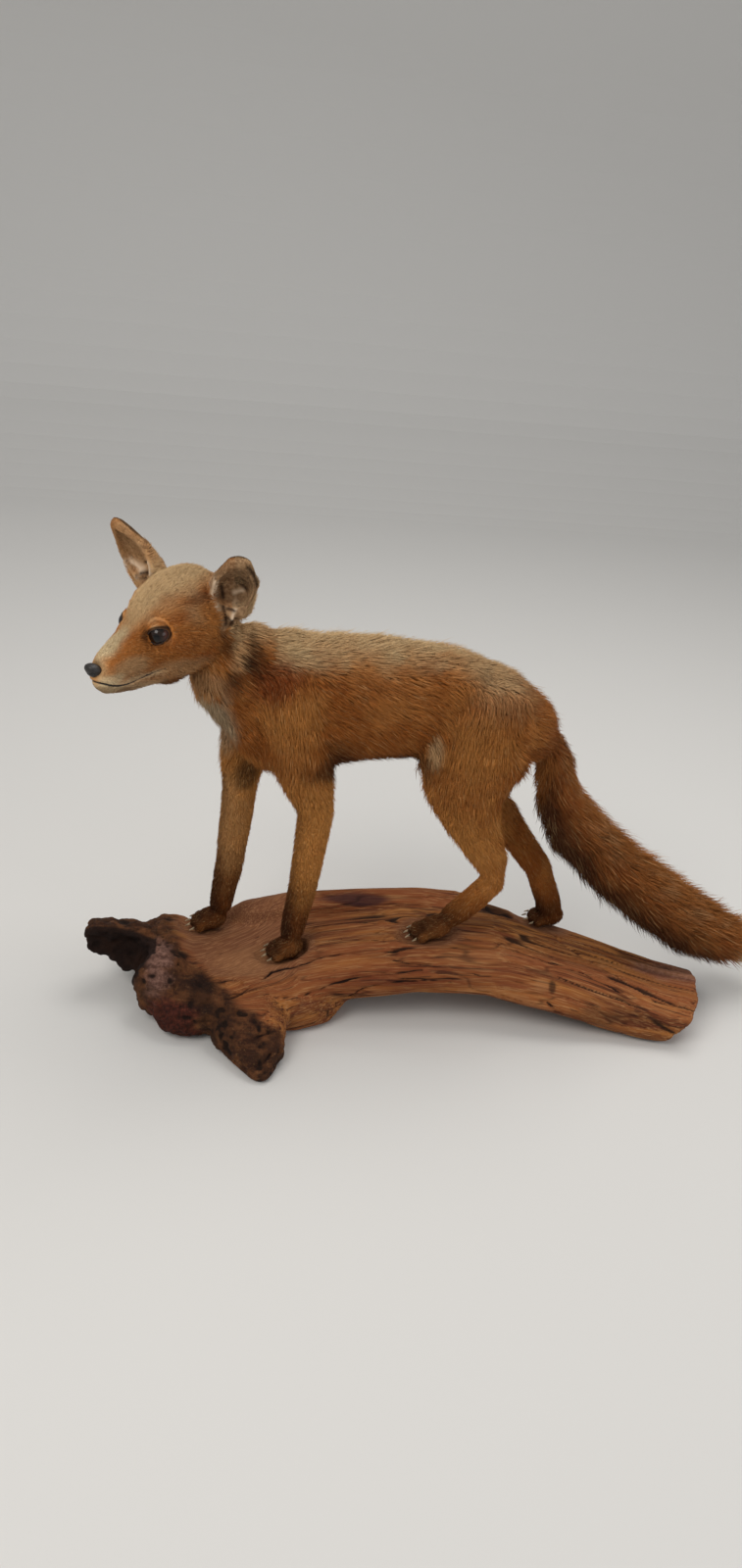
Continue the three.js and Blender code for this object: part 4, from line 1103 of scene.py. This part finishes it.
fullness = 0.955
long_hair = 21.5           # from here on a tuft has two rings
tuft_patch = 0.0015        # half of a tuft's place on the unwrap
for number, coat_name in enumerate(coat_names):
    mine = np.flatnonzero(triangle_owner == number)
    wanted = area[mine] * thick[triangles[mine]].mean(axis=1) * fullness
    rings = 2 if hair[triangles[mine, 0]].mean() > long_hair else 1
    faces, columns = tuft_faces(rings)
    count = int(min(wanted.sum(), most_faces // len(faces)))
    picked = mine[np.searchsorted(np.cumsum(wanted) / wanted.sum(), chance.random(count))]
    u, v = chance.random((2, count))
    flip = u + v > 1
    u, v = np.where(flip, 1 - u, u), np.where(flip, 1 - v, v)
    root = skin_at[triangles[picked, 0]] + u[:, None] * edge_a[picked] + v[:, None] * edge_b[picked]
    near = triangles[picked, (u * 2.9).astype(int) % 3]
    long = hair[near] * chance.uniform(0.7, 1.25, count) * clumps[near] * mm
    rise = deep[near] * chance.uniform(0.35, 1.1, count) * clumps[near] * mm
    stray = chance.random(count) < 0.05 + 0.1 * on_tail[near]
    rise = np.where(stray, rise * 1.3, rise)
    wide = half[near] * chance.uniform(0.7, 1.3, count) * mm
    root_out = skin_out[near]
    line = [root - root_out * np.minimum(rise * 0.4, 1.2 * mm)[:, None]]
    at = root
    before = 0.0
    for share in [*ring_shares[rings], 1.0]:
        nearest, at = follow(at, long * (share - before) * 0.92)
        jog = chance.normal(0, 0.07, (count, 3)) * (long * (share - before))[:, None]
        lifted = rise * share ** 0.75
        line.append(at + jog + skin_out[nearest] * lifted[:, None])
        before = share
    corners = [line[0]]
    for step in range(1, rings + 1):
        heading = line[step + 1] - line[step - 1]
        heading /= np.linalg.norm(heading, axis=1)[:, None] + 1e-12
        side_way = np.cross(heading, root_out)
        side_way /= np.linalg.norm(side_way, axis=1)[:, None] + 1e-12
        up_way = np.cross(side_way, heading)
        girth = (wide * (1.0 if step == 1 else 0.78))[:, None]
        corners += [line[step] - side_way * girth - up_way * girth * 0.25,
                    line[step] + side_way * girth - up_way * girth * 0.25,
                    line[step] + up_way * girth * 0.5]
    corners.append(line[-1])
    size = len(corners)
    corners = np.stack(corners, axis=1)
    indices = (faces[None] + size * np.arange(count)[:, None, None]).reshape(-1, 3)
    mesh = bpy.data.meshes.new(coat_name)
    mesh.vertices.add(count * size)
    mesh.vertices.foreach_set("co", corners.astype(np.float32).ravel())
    mesh.loops.add(indices.size)
    mesh.loops.foreach_set("vertex_index", indices.astype(np.int32).ravel())
    mesh.polygons.add(len(indices))
    mesh.polygons.foreach_set("loop_start", np.arange(0, indices.size, 3, dtype=np.int32))
    mesh.update(calc_edges=True)

    # The skin's own unwrap: each length is slit along one side and laid out as a strip, round
    # it across the map and along it up the map. A tuft takes a small patch at its root's place.
    length_at = np.argmax(shares[near], axis=1)
    strips = np.unique(length_at)
    from_start = root - starts[length_at]
    run_along = ends[length_at] - starts[length_at]
    up_map = np.clip(np.sum(from_start * run_along, axis=1) / np.sum(run_along ** 2, axis=1), -0.2, 1.2)
    radial = from_start - np.clip(up_map, 0, 1)[:, None] * run_along
    first = np.cross(run_along, (0.0, 1.0, 0.001))
    first /= np.linalg.norm(first, axis=1)[:, None]
    second = np.cross(run_along, first)
    second /= np.linalg.norm(second, axis=1)[:, None]
    round_map = np.arctan2(np.sum(radial * second, axis=1), np.sum(radial * first, axis=1))
    round_map = round_map / (2 * np.pi) + 0.5
    strip = np.searchsorted(strips, length_at)
    map_u = 0.004 + 0.992 * (strip + 0.02 + 0.96 * round_map) / len(strips)
    map_v = 0.01 + 0.98 * (up_map + 0.2) / 1.4
    column_u = np.array([-1.0, -0.34, 0.34, 1.0])
    ring_v = [-0.4, 0.4] if rings == 2 else [0.0]
    heights = np.concatenate([[-1.0], np.repeat(ring_v, 3), [1.0]])
    spread = np.zeros((len(faces), 3, 2))
    for row, (face, column) in enumerate(zip(faces, columns)):
        low_u, high_u = column_u[column], column_u[column + 1]
        left_corner = (2, 1, 3)[column]
        for corner in range(3):
            kind = face[corner]
            if kind in (0, size - 1):
                spread[row, corner, 0] = (low_u + high_u) / 2
            else:
                spread[row, corner, 0] = low_u if (kind - 1) % 3 + 1 == left_corner else high_u
            spread[row, corner, 1] = heights[kind]
    patch = np.stack([map_u, map_v], axis=1)[:, None, None] + spread[None] * tuft_patch
    unwrap = mesh.uv_layers.new(name="OFBake")
    unwrap.data.foreach_set("uv", patch.astype(np.float32).ravel())

    for name, strength in markings(root + 0.6 * (at - root), root_out).items():
        note(mesh, name, np.repeat(strength, size))
    steps = np.concatenate([[0.0], np.repeat(ring_shares[rings], 3), [1.0]])
    note(mesh, "tip", np.tile(steps, count))
    shade = np.clip(chance.normal(0, 0.42, count), -1, 1)
    note(mesh, "shade", np.repeat(shade, size))
    note(mesh, "inner_ear", np.repeat(ear_in[near] * 0.8, size))
    for name, strength in ear_notes.items():
        note(mesh, name, np.repeat(strength[near], size))
    new_piece(f"coat_{coat_name}", mesh, fur_finish, "fur")


# ---- Nose, lips and lids ----------------------------------------------------------------------
# The nose is bare black leather with two comma-shaped nostrils. Thin dark edges line the lids
# and the closed lips.

leather, leather_shader, spot = new_finish("nose_leather", Specular_IOR_Level=0.5)
pebbles = spot.node("TexVoronoi", {}, {"Vector": spot, "Scale": 1100.0})
pebbles.rise(0.0, 0.6).mixed(dye("#0d0b0a"), dye("#211c1a")).into(leather_shader, "Base Color")
(0.34 + 0.25 * pebbles).into(leather_shader, "Roughness")
pebbles.bump(leather_shader, 0.4, 0.25 * mm)

nose_half = (7.0, 7.6, 7.2)
nose_middle = (-62.2, 0, -22.0)
nose = bmesh.new()
bmesh.ops.create_icosphere(nose, subdivisions=5, radius=1.0)
ball = np.array([vert.co[:] for vert in nose.verts])
shape = np.sign(ball) * np.abs(ball) ** 0.86 * nose_half
shape[:, 1] *= 1 - 0.4 * smooth(-shape[:, 2], -2, 8)
shape[:, 2] -= 1.0 * smooth(-shape[:, 0], 2, 8)
for side in (-1, 1):
    hole = far_from(shape, (-6.0, side * 4.6, -0.6), (4.2, 2.5, 2.0))
    shape[:, 0] += 3.2 * smooth(-hole, -1.15, -0.2)
    slit = far_from(shape, (-3.6, side * 7.4, -1.6), (4.4, 2.2, 1.1))
    shape[:, 1] -= side * 1.6 * smooth(-slit, -1.1, -0.3)
cleft = np.exp(-(shape[:, 1] / 0.8) ** 2) * smooth(-shape[:, 2], -2, 3) * smooth(-shape[:, 0], 1, 4)
shape[:, 0] += 1.1 * cleft - 0.42 * shape[:, 2]
for vert, place in zip(nose.verts, on_head(shape + nose_middle)):
    vert.co = place
nose_mesh = bpy.data.meshes.new("nose")
nose.to_mesh(nose_mesh)
nose.free()
new_piece("nose_leather", nose_mesh, leather, "nose_skin", "nose")

edging, edging_shader, spot = new_finish("lid_and_lip_edges", Specular_IOR_Level=0.4)
spot.noise(700, 3).rise(0.3, 0.7).mixed(dye("#120d0b"), dye("#2a1d18")).into(edging_shader, "Base Color")
(0.4 + 0.3 * spot.noise(500)).into(edging_shader, "Roughness")


def beaded(name, line, girths, closed=False):
    """A round edging along a line of places, thicker or thinner as it goes."""
    curve = bpy.data.curves.new(name, "CURVE")
    curve.dimensions = "3D"
    curve.bevel_depth = mm
    curve.bevel_resolution = 2
    curve.use_fill_caps = True
    spline = curve.splines.new("POLY")
    spline.points.add(len(line) - 1)
    for point, place, girth in zip(spline.points, line, girths):
        point.co = (*place, 1.0)
        point.radius = girth
    spline.use_cyclic_u = closed
    holder = bpy.data.objects.new(name, curve)
    bpy.context.scene.collection.objects.link(holder)
    graph = bpy.context.evaluated_depsgraph_get()
    mesh = bpy.data.meshes.new_from_object(holder.evaluated_get(graph))
    bpy.data.objects.remove(holder)
    return mesh


for side, name in ((-1, "left"), (1, "right")):
    outward, back, up = along_gaze(side)
    turn = np.linspace(0, 2 * np.pi, 73)[:-1]
    across = lid_half[0] * np.cos(turn)
    rise = np.where(np.sin(turn) > 0, lid_half[1], lid_half[1] * lower_lid) * np.sin(turn)
    rise += lid_tilt * across
    depth_out = np.sqrt(np.maximum((eye_radius + 0.35) ** 2 - across ** 2 - rise ** 2, 1.0))
    rim = eye_seat[side] + across[:, None] * back + rise[:, None] * up + depth_out[:, None] * outward
    girths = 0.35 + 0.4 * np.exp(-((turn - np.pi) / 0.5) ** 2)
    new_piece(f"lid_edge_{name}", beaded("lid", on_head(rim), girths, True), edging, "nose_skin")

# The lips meet in one line, from the left corner of the mouth round the front to the right.
skin_tree = BVHTree.FromPolygons([tuple(place) for place in skin_at], triangles.tolist())
lip_line, lip_girths = [], []
lip_run = np.concatenate([np.linspace(2, -63, 44), np.linspace(-63, 2, 44)])
for i, lip_x in enumerate(lip_run):
    side = -1 if i < 44 else 1
    lip_z = np.interp(lip_x, mouth_x, mouth_z)
    begin, end = on_head([(lip_x, side * 60, lip_z), (lip_x, 0, lip_z)])
    struck, facing, _, _ = skin_tree.ray_cast(Vector(begin), Vector(unit(end - begin)))
    if struck:
        proud = np.interp(lip_x, [-48, -30], [0.1, 0.6]) * mm
        lip_line.append(np.array(struck) + np.array(facing) * proud)
        lip_girths.append(np.interp(lip_x, [-63, -52, -16, 2], [0.55, 0.95, 1.0, 0.4]))
new_piece("lip_edge", beaded("lip", lip_line, lip_girths), edging, "nose_skin")


# ---- Claws ------------------------------------------------------------------------------------
# Four small hooked claws of pale horn to each foot, mottled and with fine lines along them. They
# stay fixed in the toes of the skin, and only their ends come out of the hair.

horn, horn_shader, spot = new_finish("claw_horn", Specular_IOR_Level=0.45)
spot.noise(350, 3).rise(0.35, 0.65).mixed(dye("#766650"), dye("#ab9674")).into(horn_shader, "Base Color")
(0.35 + 0.25 * spot.noise(800)).into(horn_shader, "Roughness")
spot.stretched((900, 200, 200)).noise(1.0).bump(horn_shader, 0.2, 0.2 * mm)
for foot in feet:
    for toe in range(1, 5):
        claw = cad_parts[f"{foot}_claw_{toe}"]
        claw.data.materials.clear()
        claw.data.materials.append(horn)
        weld = claw.modifiers.new("weld", "WELD")
        weld.merge_threshold = 0.02 * mm
        rounded = claw.modifiers.new("rounded", "SUBSURF")
        rounded.levels = rounded.render_levels = 2
